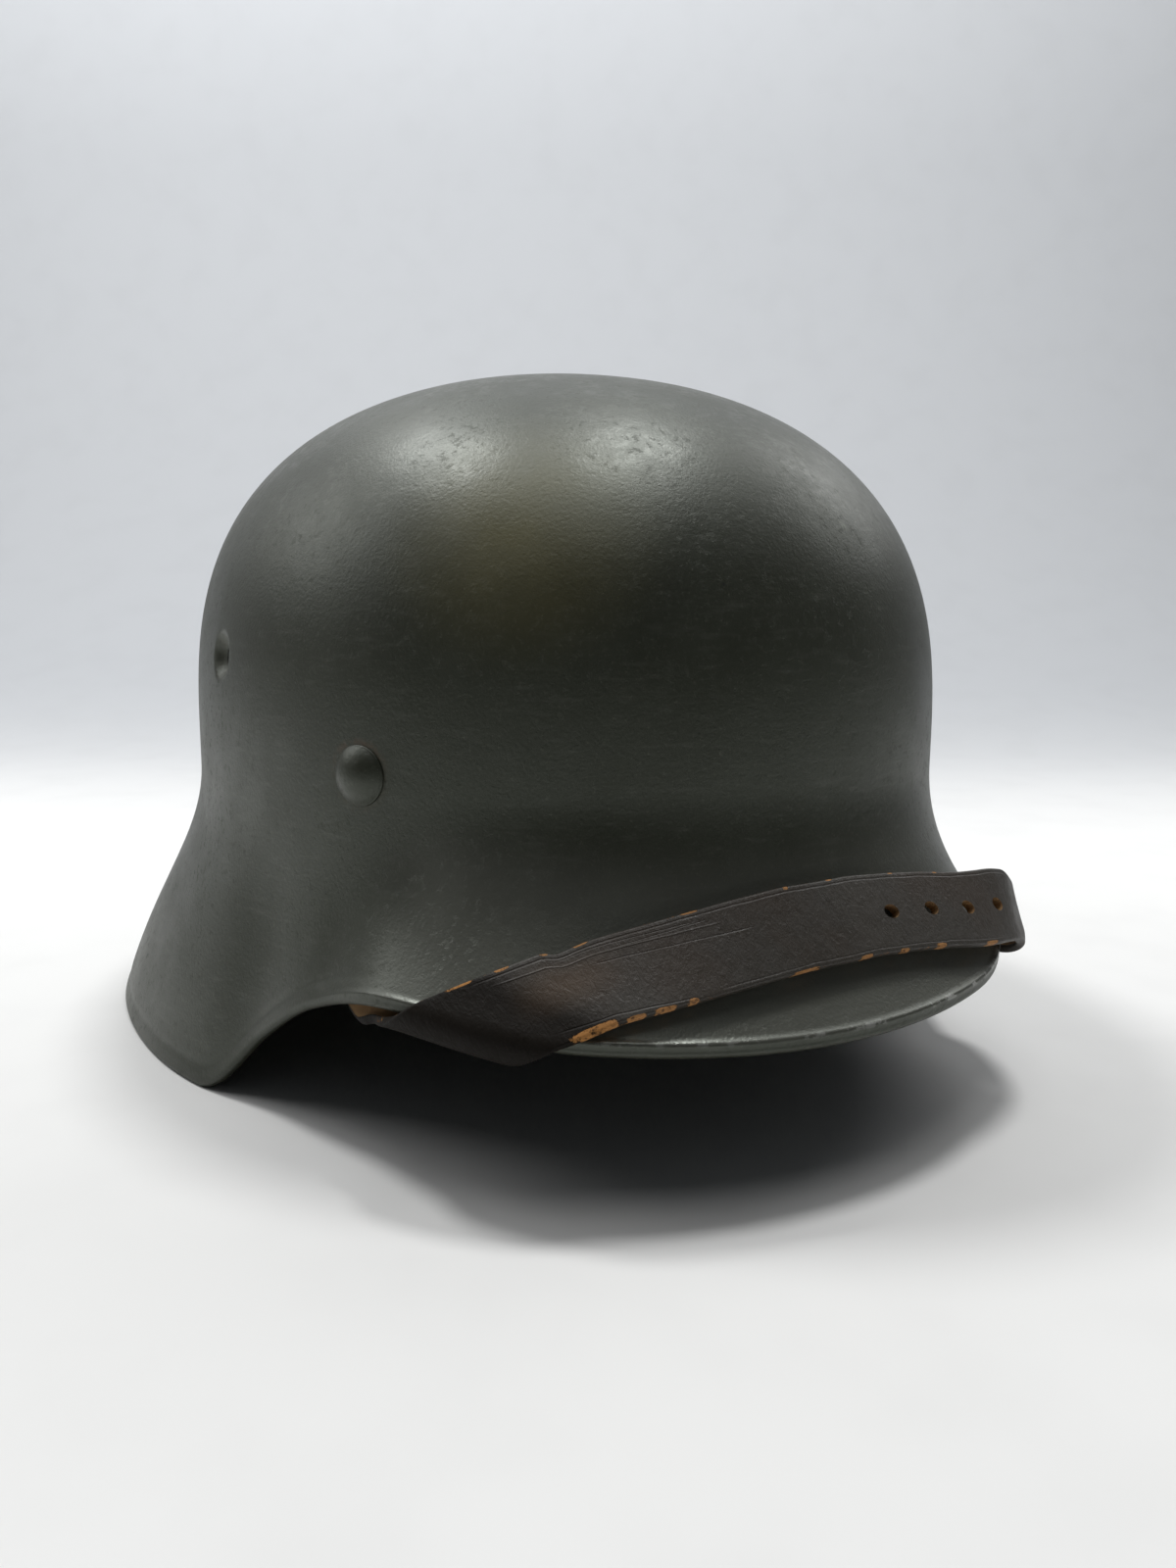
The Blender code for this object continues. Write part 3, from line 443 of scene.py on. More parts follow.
def subtract(item, cutters):
    """Cuts the cutters out of the item for good."""
    for cutter in cutters:
        modifier = item.modifiers.new("cut", "BOOLEAN")
        modifier.operation = "DIFFERENCE"
        modifier.solver = "EXACT"
        modifier.object = cutter
    bpy.context.view_layer.update()
    ready = item.evaluated_get(bpy.context.evaluated_depsgraph_get())
    mesh = bpy.data.meshes.new_from_object(ready)
    item.modifiers.clear()
    item.data = mesh
    for cutter in cutters:
        bpy.data.objects.remove(cutter, do_unlink=True)


def oval_cutter(frame, length, width, depth, sides=40):
    mesh = bpy.data.meshes.new("cutter")
    work = bmesh.new()
    size = Matrix.Diagonal((length / 2, width / 2, depth, 1.0))
    bmesh.ops.create_cone(
        work, cap_ends=True, segments=sides, radius1=1.0, radius2=1.0, depth=1.0, matrix=size)
    work.to_mesh(mesh)
    work.free()
    item = show("cutter", mesh)
    item.matrix_world = frame
    return item


def turned(name, profile, frame, steps=64):
    """Spins a profile of (radius, height) pairs, from top to bottom, about its frame's z."""
    profile = np.asarray(profile, float)
    turns = np.linspace(0.0, 2 * math.pi, steps, endpoint=False)
    inner = profile[1:-1]
    points = [[0.0, 0.0, profile[0, 1]], [0.0, 0.0, profile[-1, 1]]]
    points += [[r * math.cos(t), r * math.sin(t), h] for t in turns for r, h in inner]
    ring = len(inner)
    item = new_mesh(name, points, capped_faces(steps, ring), smooth=40.0)
    item.data.transform(frame)
    return item


# Shell

def vent_frames():
    return [skin_frame(sign * VENT_ANGLE, VENT_HEIGHT) for sign in (1, -1)]


def press_vents(points):
    """Pushes both skins inward in a smooth dish at each vent."""
    for frame in vent_frames():
        turn = np.array(frame.to_3x3())
        local = (points - np.array(frame.translation)) @ turn
        distance = np.hypot(local[:, 0], local[:, 1])
        near = (distance < VENT_DISH) & (np.abs(local[:, 2]) < 4 * VENT_DEPTH)
        lip = VENT_DISH / 2 + VENT_LIP / 2
        share = smooth_step((lip - distance) / (lip - VENT_HOLE / 2))
        points[near] -= turn[:, 2] * (share * VENT_DEPTH)[near, None]
    return points


def make_shell():
    """One closed skin round both sides of the sheet, with pressed vents and a rolled rim."""
    sections = []
    pasts = []
    for angle in SHELL_COLUMNS:
        section, past = shell_section(angle)
        sections.append([to_world(angle, radius, height) for radius, height in section[1:-1]])
        pasts.append(past[1:-1])
    grid = press_vents(np.array(sections).reshape(-1, 3))
    ring = len(sections[0])
    tops = [to_world(0.0, 0.0, SHELL_HEIGHT), to_world(0.0, 0.0, SHELL_HEIGHT - SHEET)]
    shell = new_mesh("helmet_shell", np.concatenate([tops, grid]), capped_faces(len(SHELL_COLUMNS), ring))
    past = np.concatenate([[-0.2, 0.1], np.array(pasts).ravel()])
    turn = np.concatenate([[0.0, 0.0], np.repeat(np.abs(SHELL_COLUMNS) / 360.0, ring)])
    set_uv(shell, "rim", np.stack([turn, past / MM / 100.0], 1))
    deep = 8 * VENT_DEPTH
    subtract(shell, [oval_cutter(frame, VENT_HOLE, VENT_HOLE, deep) for frame in vent_frames()])
    shell.data.shade_smooth()
    shell.data.set_sharp_from_angle(angle=math.radians(50.0))
    return shell


# Rivets

def lug_back_depth():
    """How deep inside the outer skin the lug's back lies, with a strap's room behind it."""
    return SHEET + GAP + STRAP_THICKNESS + GAP


def rivet_depth(name):
    """How deep inside the outer skin the rivet's spread prongs start."""
    if name == "rivet_rear":
        return SHEET + GAP + PRONG_BOW
    return lug_back_depth() + LUG_THICKNESS + 2 * GAP


def rivet_profile(name):
    """A domed head with a softly rounded edge, a shank and, at the sides, the collar behind the shell."""
    head = RIVET_HEAD / 2
    shank = RIVET_SHANK / 2
    ball = (head * head + RIVET_DOME * RIVET_DOME) / (2 * RIVET_DOME)
    sweep = math.asin((head - RIVET_EDGE * 0.55) / ball)
    top = GAP * 0.4 + RIVET_DOME
    profile = [(ball * math.sin(t), top - ball * (1 - math.cos(t))) for t in np.linspace(0.0, sweep, 22)]
    low = profile[-1][1] - RIVET_EDGE
    for turn in np.linspace(0.35, 0.5 * math.pi + 0.9, 10):
        out = head - RIVET_EDGE + RIVET_EDGE * math.sin(turn)
        profile.append((out, low + RIVET_EDGE * math.cos(turn) * 0.9))
    profile.append((shank, low))
    if name != "rivet_rear":
        collar = RIVET_COLLAR / 2
        collar_top = -SHEET - GAP - COLLAR_SLACK
        collar_end = -lug_back_depth() + GAP
        profile += [(shank, collar_top), (collar, collar_top), (collar, collar_end), (shank, collar_end)]
    end = -rivet_depth(name) - PRONG_THICKNESS
    return profile + [(shank, end), (0.0, end)]


def make_prong(name, frame, middle, sign):
    """One leg of the split rivet, spread flat over what it holds, with a rounded end."""
    rows = []
    for share in np.linspace(0.0, 1.0, 12):
        along = sign * (0.3 * MM + share * (PRONG_LENGTH / 2 - 0.3 * MM))
        half = PRONG_WIDTH / 2 * math.sqrt(max(0.0, 1 - max(0.0, (share - 0.75) / 0.25) ** 2 * 0.94))
        bow = 0.25 * MM * math.sin(math.pi * share)
        thick = PRONG_THICKNESS / 2
        corners = [(-half, -thick), (half, -thick), (half, thick), (-half, thick)]
        rows.append([(x, along, middle - bow + z) for x, z in corners])
    points = np.array(rows).reshape(-1, 3)
    faces = list(grid_faces(len(rows), 4, False, True)) + [(0, 1, 2, 3)]
    last = len(points) - 4
    faces.append((last, last + 1, last + 2, last + 3))
    prong = new_mesh(name, points, faces, smooth=30.0)
    prong.data.transform(frame)
    bevel = prong.modifiers.new("soft_edges", "BEVEL")
    bevel.width = 0.2 * MM
    bevel.segments = 2
    return prong


def make_rivets():
    frames = {
        "rivet_right": skin_frame(RIVET_ANGLE_RIGHT, RIVET_HEIGHT),
        "rivet_left": skin_frame(-RIVET_ANGLE_LEFT, RIVET_HEIGHT),
        "rivet_rear": skin_frame(180.0, RIVET_HEIGHT),
    }
    rivets = {}
    for name, frame in frames.items():
        rivet = turned(name + "_head", rivet_profile(name), frame)
        middle = -rivet_depth(name) - PRONG_THICKNESS / 2
        for side, sign in (("upper", 1), ("lower", -1)):
            prong = make_prong(name + "_prong_" + side, frame, middle, sign)
            prong.parent = rivet
        rivets[name] = rivet
    return rivets, frames


# Straps. A strap is a grid of points on its middle surface: rows along it, shares of its width across.

ACROSS = np.linspace(-1.0, 1.0, 21)
LIFT_OUT = GAP + STRAP_THICKNESS / 2
LIFT_IN = HEM_THICKNESS + HEM_CLEARANCE + STRAP_THICKNESS / 2
BEND = (LIFT_OUT + LIFT_IN) / 2
LANE_INSIDE = 3 * HEM_DEPTH


def strap_lane(angle, slack=0.0):
    """A strap's middle line in the plane at one angle, down the skirt, round the rim and up inside.

    Slack is how far its bend hangs below the rim. Gives the line's points as (radius, height) pairs and how
    far each lies above the rim's crease."""
    skirt = skirt_profile(angle, np.linspace(0.0, 1.0, 25))
    outside = skirt - inward(skirt) * LIFT_OUT
    rim, along, inside = rim_frame(angle)
    start = rim - inside * LIFT_OUT
    centre = rim + inside * (LIFT_IN - LIFT_OUT) / 2 + along * slack
    turns = np.linspace(0.0, math.pi, 25)
    bend = [centre - inside * BEND * math.cos(t) + along * BEND * math.sin(t) for t in turns]
    end = rim + inside * LIFT_IN - along * LANE_INSIDE
    outside = np.concatenate([outside[:-1], [start]])
    lane = np.concatenate([outside, bend, [end]])
    lengths = path_lengths(lane)
    return lane, lengths[len(outside) - 1] - lengths


def lane_point(angle, above, slack):
    lane, heights = strap_lane(angle, slack)
    radius = np.interp(-above, -heights, lane[:, 0])
    height = np.interp(-above, -heights, lane[:, 1])
    return to_world(angle, radius, height)


# The route over the visor: angle, above, upper_lift, lower_lift, upper_slack and lower_slack. All but the
# angle are shares of the strap's width. Above is the height of the strap's middle over the rim's crease along
# the skin. The lifts say how far each edge stands off the skin, and the slacks how low its bend hangs.
ROUTE_ROWS = (
    (46.5, -1.56, 0.00, 0.00, 0.10, 0.10),
    (43.5, -1.36, 0.00, 0.00, 0.15, 0.12),
    (40.5, -1.14, 0.00, 0.00, 0.15, 0.12),
    (37.5, -0.88, 0.02, 0.00, 0.03, 0.08),
    (34.5, -0.60, 0.04, 0.00, 0.00, 0.06),
    (31.4, -0.31, 0.04, 0.00, 0.00, 0.06),
    (28.0, 0.00, 0.02, 0.00, 0.00, 0.06),
    (25.0, 0.25, 0.00, 0.00, 0.00, 0.06),
    (22.0, 0.48, 0.00, 0.04, 0.00, 0.06),
    (18.8, 0.70, 0.02, 0.08, 0.00, 0.06),
    (14.2, 0.90, 0.03, 0.11, 0.06, 0.06),
    (9.4, 1.06, 0.03, 0.11, 0.06, 0.06),
    (4.8, 1.18, 0.03, 0.11, 0.06, 0.06),
    (-0.3, 1.26, 0.02, 0.11, 0.06, 0.06),
    (-6.0, 1.27, 0.01, 0.11, 0.06, 0.06),
    (-11.0, 1.21, 0.03, 0.12, 0.06, 0.06),
    (-16.4, 1.09, 0.10, 0.15, 0.06, 0.06),
    (-21.0, 0.94, 0.22, 0.20, 0.06, 0.06),
    (-25.5, 0.77, 0.38, 0.24, 0.06, 0.06),
    (-28.5, 0.63, 0.51, 0.25, 0.06, 0.06),
    (-31.0, 0.47, 0.58, 0.22, 0.06, 0.06),
    (-33.5, 0.24, 0.54, 0.15, 0.06, 0.06),
    (-36.0, -0.03, 0.38, 0.08, 0.06, 0.06),
    (-38.5, -0.32, 0.18, 0.02, 0.10, 0.10),
    (-41.0, -0.60, 0.06, 0.00, 0.13, 0.13),
    (-43.5, -0.84, 0.00, 0.00, 0.13, 0.13),
    (-46.0, -1.04, 0.00, 0.00, 0.13, 0.13),
)
ROUTE_STEP = 1.0 * MM
STEEPEST = 5.0
FLAT_RISE = 0.12


def route_row(angle, above, slope, upper_lift, lower_lift, upper_slack, lower_slack):
    """A row of points across the strap, square to its run; slope is its rise for each metre rearward."""
    run = math.hypot(1.0, slope)
    radius = rim_radius(angle)
    rearward = math.degrees(-slope / run / radius)
    side = math.copysign(1.0, angle)
    shares = (ACROSS + 1) / 2
    slacks = lower_slack + (upper_slack - lower_slack) * shares
    row = []
    for share, slack in zip(ACROSS, slacks):
        half = share * STRAP_WIDTH / 2
        turn = angle + side * rearward * half
        row.append(lane_point(turn, above + half / run, slack))
    out = outward(angle)
    lift = lower_lift + (upper_lift - lower_lift) * shares
    row = np.array(row) + out * lift[:, None]
    chord = row[-1] - row[0]
    straight = row[0] + chord * shares[:, None] * STRAP_WIDTH / np.linalg.norm(chord)
    flat = smooth_step((above - STRAP_WIDTH / 2 / run) / (FLAT_RISE * STRAP_WIDTH))
    return row + (straight - row) * flat


def route_rows():
    """The strap's rows from inside the right temple, over the visor, to inside the left temple."""
    table = np.array(ROUTE_ROWS)
    table[:, 1:] *= STRAP_WIDTH
    reach = np.array([rim_radius(angle) for angle in table[:, 0]])
    arc = np.radians(table[:, 0]) * reach
    lengths = path_lengths(np.stack([arc, table[:, 1]], 1))
    curves = [smooth_curve(lengths, table[:, column]) for column in range(table.shape[1])]
    count = int(round(lengths[-1] / ROUTE_STEP))
    nudge = ROUTE_STEP / 2
    rows = []
    for place in np.linspace(0.0, lengths[-1], count + 1):
        angle, above, *rest = (float(curve(place)) for curve in curves)
        later = min(place + nudge, lengths[-1])
        sooner = max(place - nudge, 0.0)
        radius = rim_radius(angle)
        moved = math.radians(abs(float(curves[0](later))) - abs(float(curves[0](sooner)))) * radius
        risen = float(curves[1](later)) - float(curves[1](sooner))
        if abs(moved) < abs(risen) / STEEPEST:
            moved = math.copysign(abs(risen) / STEEPEST, moved)
        rows.append(route_row(angle, above, risen / moved, *rest))
    return rows


def level_row(angle, height, depth):
    """A level row inside the shell, on an upright wall that lies a depth inside the dome's radius."""
    radius = plan_radius(angle) - depth
    side = math.copysign(1.0, angle)
    turn = math.degrees(STRAP_WIDTH / 2 / radius)
    return np.array([to_world(angle + side * turn * share, plan_radius(angle + side * turn * share) - depth,
                              height) for share in ACROSS])


def bridge(before, start, end, after, count):
    """Rows that carry a strap smoothly from one row to another; before and after set its direction."""
    span = np.linalg.norm(end - start, axis=1)[:, None]
    leave = (start - before) / np.linalg.norm(start - before, axis=1)[:, None] * span
    arrive = (after - end) / np.linalg.norm(after - end, axis=1)[:, None] * span
    rows = []
    for t in np.linspace(0.0, 1.0, count + 2)[1:-1]:
        rows.append((2 * t ** 3 - 3 * t * t + 1) * start + (t ** 3 - 2 * t * t + t) * leave
                    + (3 * t * t - 2 * t ** 3) * end + (t ** 3 - t * t) * arrive)
    return rows


def bend_rows(angle, height, depth, radius, start, end, count):
    """Level rows round a level bar; a turn of 0 is nearest the middle of the shell, 90 is on top."""
    rows = []
    for turn in np.radians(np.linspace(start, end, count)):
        rows.append(level_row(angle, height + radius * math.sin(turn), depth + radius * math.cos(turn)))
    return rows


# Places along the hidden ends of the strap
LUG_MIDDLE = lug_back_depth() + LUG_THICKNESS / 2
LUG_BEND = (LUG_THICKNESS + STRAP_THICKNESS) / 2 + GAP
TURN_BACK = 12.0 * MM
BUCKLE_ANGLE = -LUG_SLOT_ANGLE
LOOP_BEND = WIRE / 2 + GAP + STRAP_THICKNESS / 2
BUCKLE_TOP_DEPTH = SHEET + GAP + STRAP_THICKNESS + GAP + WIRE / 2
BUCKLE_TOP = LUG_BAR_TOP - 2 * STRAP_THICKNESS - LOOP_BEND - LOOP_ROOM
BUCKLE_LOW = BUCKLE_TOP - BUCKLE_HEIGHT
BUCKLE_LOW_DEPTH = BUCKLE_TOP_DEPTH + BUCKLE_TILT
TIP_DEPTH = BUCKLE_TOP_DEPTH + LOOP_BEND + STRAP_THICKNESS + 2 * GAP
TIP_HEIGHT = 88.0 * MM


def right_end_rows(route):
    """From the strap's turned-back end, over the lug's bar and down to the route's first row."""
    back = LUG_MIDDLE - LUG_BEND
    front = LUG_MIDDLE + LUG_BEND
    behind = [level_row(LUG_SLOT_ANGLE, LUG_BAR_TOP - TURN_BACK * share, back)
              for share in np.linspace(1.0, 0.1, 10)]
    over = bend_rows(LUG_SLOT_ANGLE, LUG_BAR_TOP, LUG_MIDDLE, LUG_BEND, 180.0, 0.0, 17)
    down = [level_row(LUG_SLOT_ANGLE, LUG_BAR_TOP - drop, front) for drop in (LUG_BAR / 2, LUG_BAR)]
    return behind + over + down + bridge(down[-2], down[-1], route[0], route[1], 20)


def left_end_rows(route):
    """From the route's last row, behind the buckle's low bar, over its top bar and up to the tip."""
    behind = BUCKLE_LOW_DEPTH - LOOP_BEND
    low = level_row(BUCKLE_ANGLE, BUCKLE_LOW, behind)
    low_next = level_row(BUCKLE_ANGLE, BUCKLE_LOW + LEAD, behind + LEAD_DRIFT)
    high_before = level_row(BUCKLE_ANGLE, BUCKLE_TOP - LEAD / 2, TIP_DEPTH - LEAD_DRIFT / 4)
    high = level_row(BUCKLE_ANGLE, BUCKLE_TOP + LEAD / 2, TIP_DEPTH)
    tip = [level_row(BUCKLE_ANGLE, height, TIP_DEPTH)
           for height in np.linspace(BUCKLE_TOP + LEAD, TIP_HEIGHT, 26)]
    rise = bridge(route[-2], route[-1], low, low_next, 14)
    cross = bridge(low, low_next, high_before, high, 12)
    return rise + [low, low_next] + cross + [high_before, high] + tip


FACE_POINTS = 19


def strap_loop():
    """The section of a strap with rounded edges, as pairs of share across and height off its middle."""
    half = STRAP_WIDTH / 2
    thick = STRAP_THICKNESS / 2
    flat = 1 - EDGE_ROUND / half
    face = np.linspace(-flat, flat, FACE_POINTS)
    corner = np.radians((18.0, 36.0, 54.0, 72.0, 90.0))
    edge = [(flat + math.sin(t) * EDGE_ROUND / half, thick - EDGE_ROUND * (1 - math.cos(t))) for t in corner]
    right = edge + [(x, -y) for x, y in edge[::-1]]
    left = [(-x, -y) for x, y in right]
    return [(x, thick) for x in face] + right + [(-x, -thick) for x in face] + left


def strap_mesh(name, rows, materials, closed=False, zero=0):
    """Gives a strap its thickness and rounded edges, and its inner side the second material.

    Its UV map holds how many metres along it a point is, from the row numbered zero, and how far across."""
    grid = np.array(rows)
    if closed:
        along = np.roll(grid, -1, axis=0) - np.roll(grid, 1, axis=0)
    else:
        along = np.gradient(grid, axis=0)
    across = np.gradient(grid, axis=1)
    normal = np.cross(across, along)
    normal /= np.linalg.norm(normal, axis=2)[:, :, None]
    loop = strap_loop()
    wide = [x for x, _ in loop]
    high = np.array([y for _, y in loop])[:, None]
    sections = []
    for row, up in zip(grid, normal):
        place = np.stack([np.interp(wide, ACROSS, row[:, k]) for k in range(3)], 1)
        lift = np.stack([np.interp(wide, ACROSS, up[:, k]) for k in range(3)], 1)
        sections.append(place + lift * high)
    points = np.array(sections)
    count, ring = points.shape[:2]
    faces = list(grid_faces(count, ring, closed, True))
    sides = len(faces)
    if not closed:
        faces.append(tuple(range(ring)))
        faces.append(tuple((count - 1) * ring + i for i in range(ring)))
    strap = new_mesh(name, points.reshape(-1, 3), faces, smooth=55.0)
    set_material(strap, *materials)
    for face in strap.data.polygons[:sides]:
        face.material_index = int(face.index % ring < FACE_POINTS - 1)
    lengths = path_lengths(grid[:, len(ACROSS) // 2])
    pairs = [(length - lengths[zero], 0.5 + 0.4 * x) for length in lengths for x in wide]
    set_uv(strap, "strap", pairs)
    return strap


def make_long_strap(leather, flesh):
    route = route_rows()
    start = right_end_rows(route)
    centres = np.array(route)[:, len(ACROSS) // 2]
    angles = np.degrees(np.arctan2(-centres[:, 0], AXIS_Y - centres[:, 1]))
    front = len(start) + int(np.argmin(np.abs(angles)))
    strap = strap_mesh("chin_strap", start + route + left_end_rows(route), (leather, flesh), zero=front)
    lengths = path_lengths(centres)
    first = float(np.interp(-FIRST_HOLE_ANGLE, -angles, lengths))
    cutters = []
    for number in range(HOLE_COUNT):
        place = first + number * HOLE_SPACING
        row = int(np.searchsorted(lengths, place)) - 1
        share = (place - lengths[row]) / (lengths[row + 1] - lengths[row])
        x_axis = Vector(centres[row + 1] - centres[row]).normalized()
        z_axis = x_axis.cross(Vector(route[row][-1] - route[row][0])).normalized()
        frame = Matrix((x_axis, z_axis.cross(x_axis), z_axis)).transposed().to_4x4()
        frame.translation = Vector(centres[row] + (centres[row + 1] - centres[row]) * share)
        cutter = oval_cutter(frame, HOLE_LENGTH, HOLE_WIDTH, 3 * STRAP_THICKNESS, 28)
        set_material(cutter, leather, flesh)
        for face in cutter.data.polygons:
            face.material_index = 1
        cutters.append(cutter)
    subtract(strap, cutters)
    strap.data.shade_smooth()
    strap.data.set_sharp_from_angle(angle=math.radians(55.0))
    return strap


def make_short_strap(leather, flesh):
    upper = bend_rows(BUCKLE_ANGLE, LUG_BAR_TOP, LUG_MIDDLE, LUG_BEND, 180.0, 0.0, 17)
    lower = bend_rows(BUCKLE_ANGLE, BUCKLE_TOP, BUCKLE_TOP_DEPTH, LOOP_BEND, 0.0, -180.0, 17)
    return strap_mesh("buckle_strap", upper + lower, (leather, flesh), closed=True)


def buckle_points(height, depth):
    half = STRAP_WIDTH / 2 + 2 * GAP + WIRE / 2
    turns = np.degrees(half / plan_radius(BUCKLE_ANGLE)) * np.linspace(-1.0, 1.0, 9)
    return [to_world(BUCKLE_ANGLE + turn, plan_radius(BUCKLE_ANGLE + turn) - depth, height) for turn in turns]


def wire(name, points, diameter, closed):
    """A round wire through the points, as a mesh."""
    curve = bpy.data.curves.new(name, "CURVE")
    curve.dimensions = "3D"
    curve.bevel_depth = diameter / 2
    curve.bevel_resolution = 5
    curve.use_fill_caps = True
    spline = curve.splines.new("POLY")
    spline.points.add(len(points) - 1)
    for knot, point in zip(spline.points, points):
        knot.co = (*map(float, point), 1.0)
    spline.use_cyclic_u = closed
    bent = show(name, curve)
    bpy.context.view_layer.update()
    mesh = bpy.data.meshes.new_from_object(bent.evaluated_get(bpy.context.evaluated_depsgraph_get()))
    bpy.data.objects.remove(bent, do_unlink=True)
    return show(name, mesh)


def make_buckle():
    top = buckle_points(BUCKLE_TOP, BUCKLE_TOP_DEPTH)
    low = buckle_points(BUCKLE_LOW, BUCKLE_LOW_DEPTH)
    frame = wire("buckle_frame", top + low[::-1], WIRE, True)
    rest = BUCKLE_LOW_DEPTH + (WIRE + TONGUE) / 2 - TONGUE_SEAT
    ends = [top[len(top) // 2],
            to_world(BUCKLE_ANGLE, plan_radius(BUCKLE_ANGLE) - rest, BUCKLE_LOW - WIRE / 2)]
    tongue = wire("buckle_tongue", ends, TONGUE, False)
    tongue.parent = frame
    return frame, tongue


# Materials

class Nodes:
    """Short calls for a material's nodes. Each returns an output socket."""

    def __init__(self, name):
        self.material = bpy.data.materials.new(name)
        self.material.use_nodes = True
        self.tree = self.material.node_tree
        self.shader = self.tree.nodes["Principled BSDF"]
        self.place = self.add("TexCoord").outputs["Object"]

    def add(self, kind):
        return self.tree.nodes.new("ShaderNode" + kind)

    def put(self, socket, value):
        if isinstance(value, bpy.types.NodeSocket):
            self.tree.links.new(value, socket)
        elif isinstance(value, tuple) and len(value) == 3 and socket.type == "RGBA":
            socket.default_value = (*value, 1.0)
        else:
            socket.default_value = value

    def uv(self, name):
        node = self.add("UVMap")
        node.uv_map = name
        split = self.add("SeparateXYZ")
        self.tree.links.new(node.outputs[0], split.inputs[0])
        return node.outputs[0], split.outputs[0], split.outputs[1]

    def stretched(self, vector, scale):
        node = self.add("Mapping")
        node.inputs["Scale"].default_value = scale
        self.tree.links.new(vector, node.inputs["Vector"])
        return node.outputs[0]

    def noise(self, scale, detail=3.0, rough=0.55, vector=None, distortion=0.0):
        node = self.add("TexNoise")
        self.put(node.inputs["Vector"], vector or self.place)
        node.inputs["Scale"].default_value = scale
        node.inputs["Detail"].default_value = detail
        node.inputs["Roughness"].default_value = rough
        node.inputs["Distortion"].default_value = distortion
        return node.outputs["Fac"]

    def sum(self, operation, a, b=0.0, c=None, clamp=False):
        node = self.add("Math")
        node.operation = operation
        node.use_clamp = clamp
        self.put(node.inputs[0], a)
        self.put(node.inputs[1], b)
        if c is not None:
            self.put(node.inputs[2], c)
        return node.outputs[0]

    def times(self, a, b):
        return self.sum("MULTIPLY", a, b)

    def plus(self, a, b, clamp=False):
        return self.sum("ADD", a, b, clamp=clamp)

    def most(self, a, b, clamp=False):
        return b if a is None else self.sum("MAXIMUM", a, b, clamp=clamp)

    def band(self, value, low, high, out_low=0.0, out_high=1.0):
        """A smooth change from out_low to out_high as the value goes from low to high."""
        node = self.add("MapRange")
        node.interpolation_type = "SMOOTHSTEP"
        self.put(node.inputs["Value"], value)
        node.inputs["From Min"].default_value = low
        node.inputs["From Max"].default_value = high
        node.inputs["To Min"].default_value = out_low
        node.inputs["To Max"].default_value = out_high
        return node.outputs[0]

    def peak(self, value, middle, width):
        """1 at the middle, falling smoothly to 0 at a width on either side."""
        away = self.sum("ABSOLUTE", self.sum("SUBTRACT", value, middle))
        return self.band(away, 0.0, width, 1.0, 0.0)

    def near(self, point, radius):
        """1 at a point of the object, falling smoothly to 0 at the radius."""
        node = self.add("VectorMath")
        node.operation = "DISTANCE"
        self.tree.links.new(self.place, node.inputs[0])
        node.inputs[1].default_value = point
        return node.outputs["Value"], self.band(node.outputs["Value"], 0.0, radius, 1.0, 0.0)

    def mix(self, share, a, b):
        node = self.add("Mix")
        node.data_type = "RGBA"
        self.put(node.inputs["Factor"], share)
        self.put(node.inputs["A"], a)
        self.put(node.inputs["B"], b)
        return node.outputs["Result"]

    def bump(self, height, distance, strength=1.0, normal=None):
        node = self.add("Bump")
        node.inputs["Strength"].default_value = strength
        node.inputs["Distance"].default_value = distance
        self.put(node.inputs["Height"], height)
        if normal is not None:
            self.put(node.inputs["Normal"], normal)
        return node.outputs[0]

    def finish(self, **inputs):
        for name, value in inputs.items():
            self.put(self.shader.inputs[name.replace("_", " ").title().replace("Ior", "IOR")], value)
        return self.material


PAINT_COLOUR = (0.0220, 0.0235, 0.0145)
PAINT_DARK = (0.0140, 0.0145, 0.0070)
PAINT_SPECK = (0.060, 0.060, 0.045)
PAINT_OLIVE = (0.100, 0.086, 0.030)
BARE_STEEL = (0.42, 0.42, 0.40)
# The dust colour also serves as a painted reflection of the overhead light on the visor's top
DUST_AND_SHEEN = (0.13, 0.13, 0.115)
RUST = (0.060, 0.034, 0.018)
LEATHER_COLOUR = (0.036, 0.031, 0.024)
LEATHER_BROWN = (0.036, 0.022, 0.012)
# Near black: painted shade on the strap where it drops into the notch and round the rim
LEATHER_PAINTED_SHADE = (0.010, 0.008, 0.006)
LEATHER_RUBBED = (0.075, 0.044, 0.022)
LEATHER_DUSTY = (0.068, 0.058, 0.046)
LEATHER_RAW = (0.40, 0.19, 0.062)
LEATHER_FLESH = (0.30, 0.18, 0.085)
FLESH_DARK = (0.13, 0.075, 0.035)
FLESH_LIGHT = (0.42, 0.28, 0.15)
STEEL_COLOUR = (0.19, 0.19, 0.18)
STEEL_DARK = (0.10, 0.10, 0.095)

# The rim's chips lie on the visor's ridge, within this many degrees of the front
CHIPPED_ANGLE = 34.0


def rim_wear_and_sheen(n, sideways):
    """The polished ridge along the visor's rim, the bare chips on it, and the visor's top, lightened partly
    as dust and partly as a painted reflection of the light overhead.
    """
    _, turn, past = n.uv("rim")
    front = n.band(turn, (CHIPPED_ANGLE + 12.0) / 360.0, CHIPPED_ANGLE / 360.0)
    ridge = n.times(n.peak(past, 0.0, 0.010), front)
    chips = n.times(n.peak(past, 0.0, 0.009), n.band(n.noise(300.0, 4.0, 0.7), 0.53, 0.60))
    lefty = n.band(sideways, -17.0 * MM, 41.0 * MM, 0.25, 1.0)
    chips = n.times(n.times(chips, front), lefty)
    # The visor's upper face: lightened partly by dust and partly as a painted reflection of the light
    # overhead
    top = n.times(n.band(past, -0.42, -0.26), n.band(past, 0.004, -0.004))
    return ridge, chips, n.times(top, front)


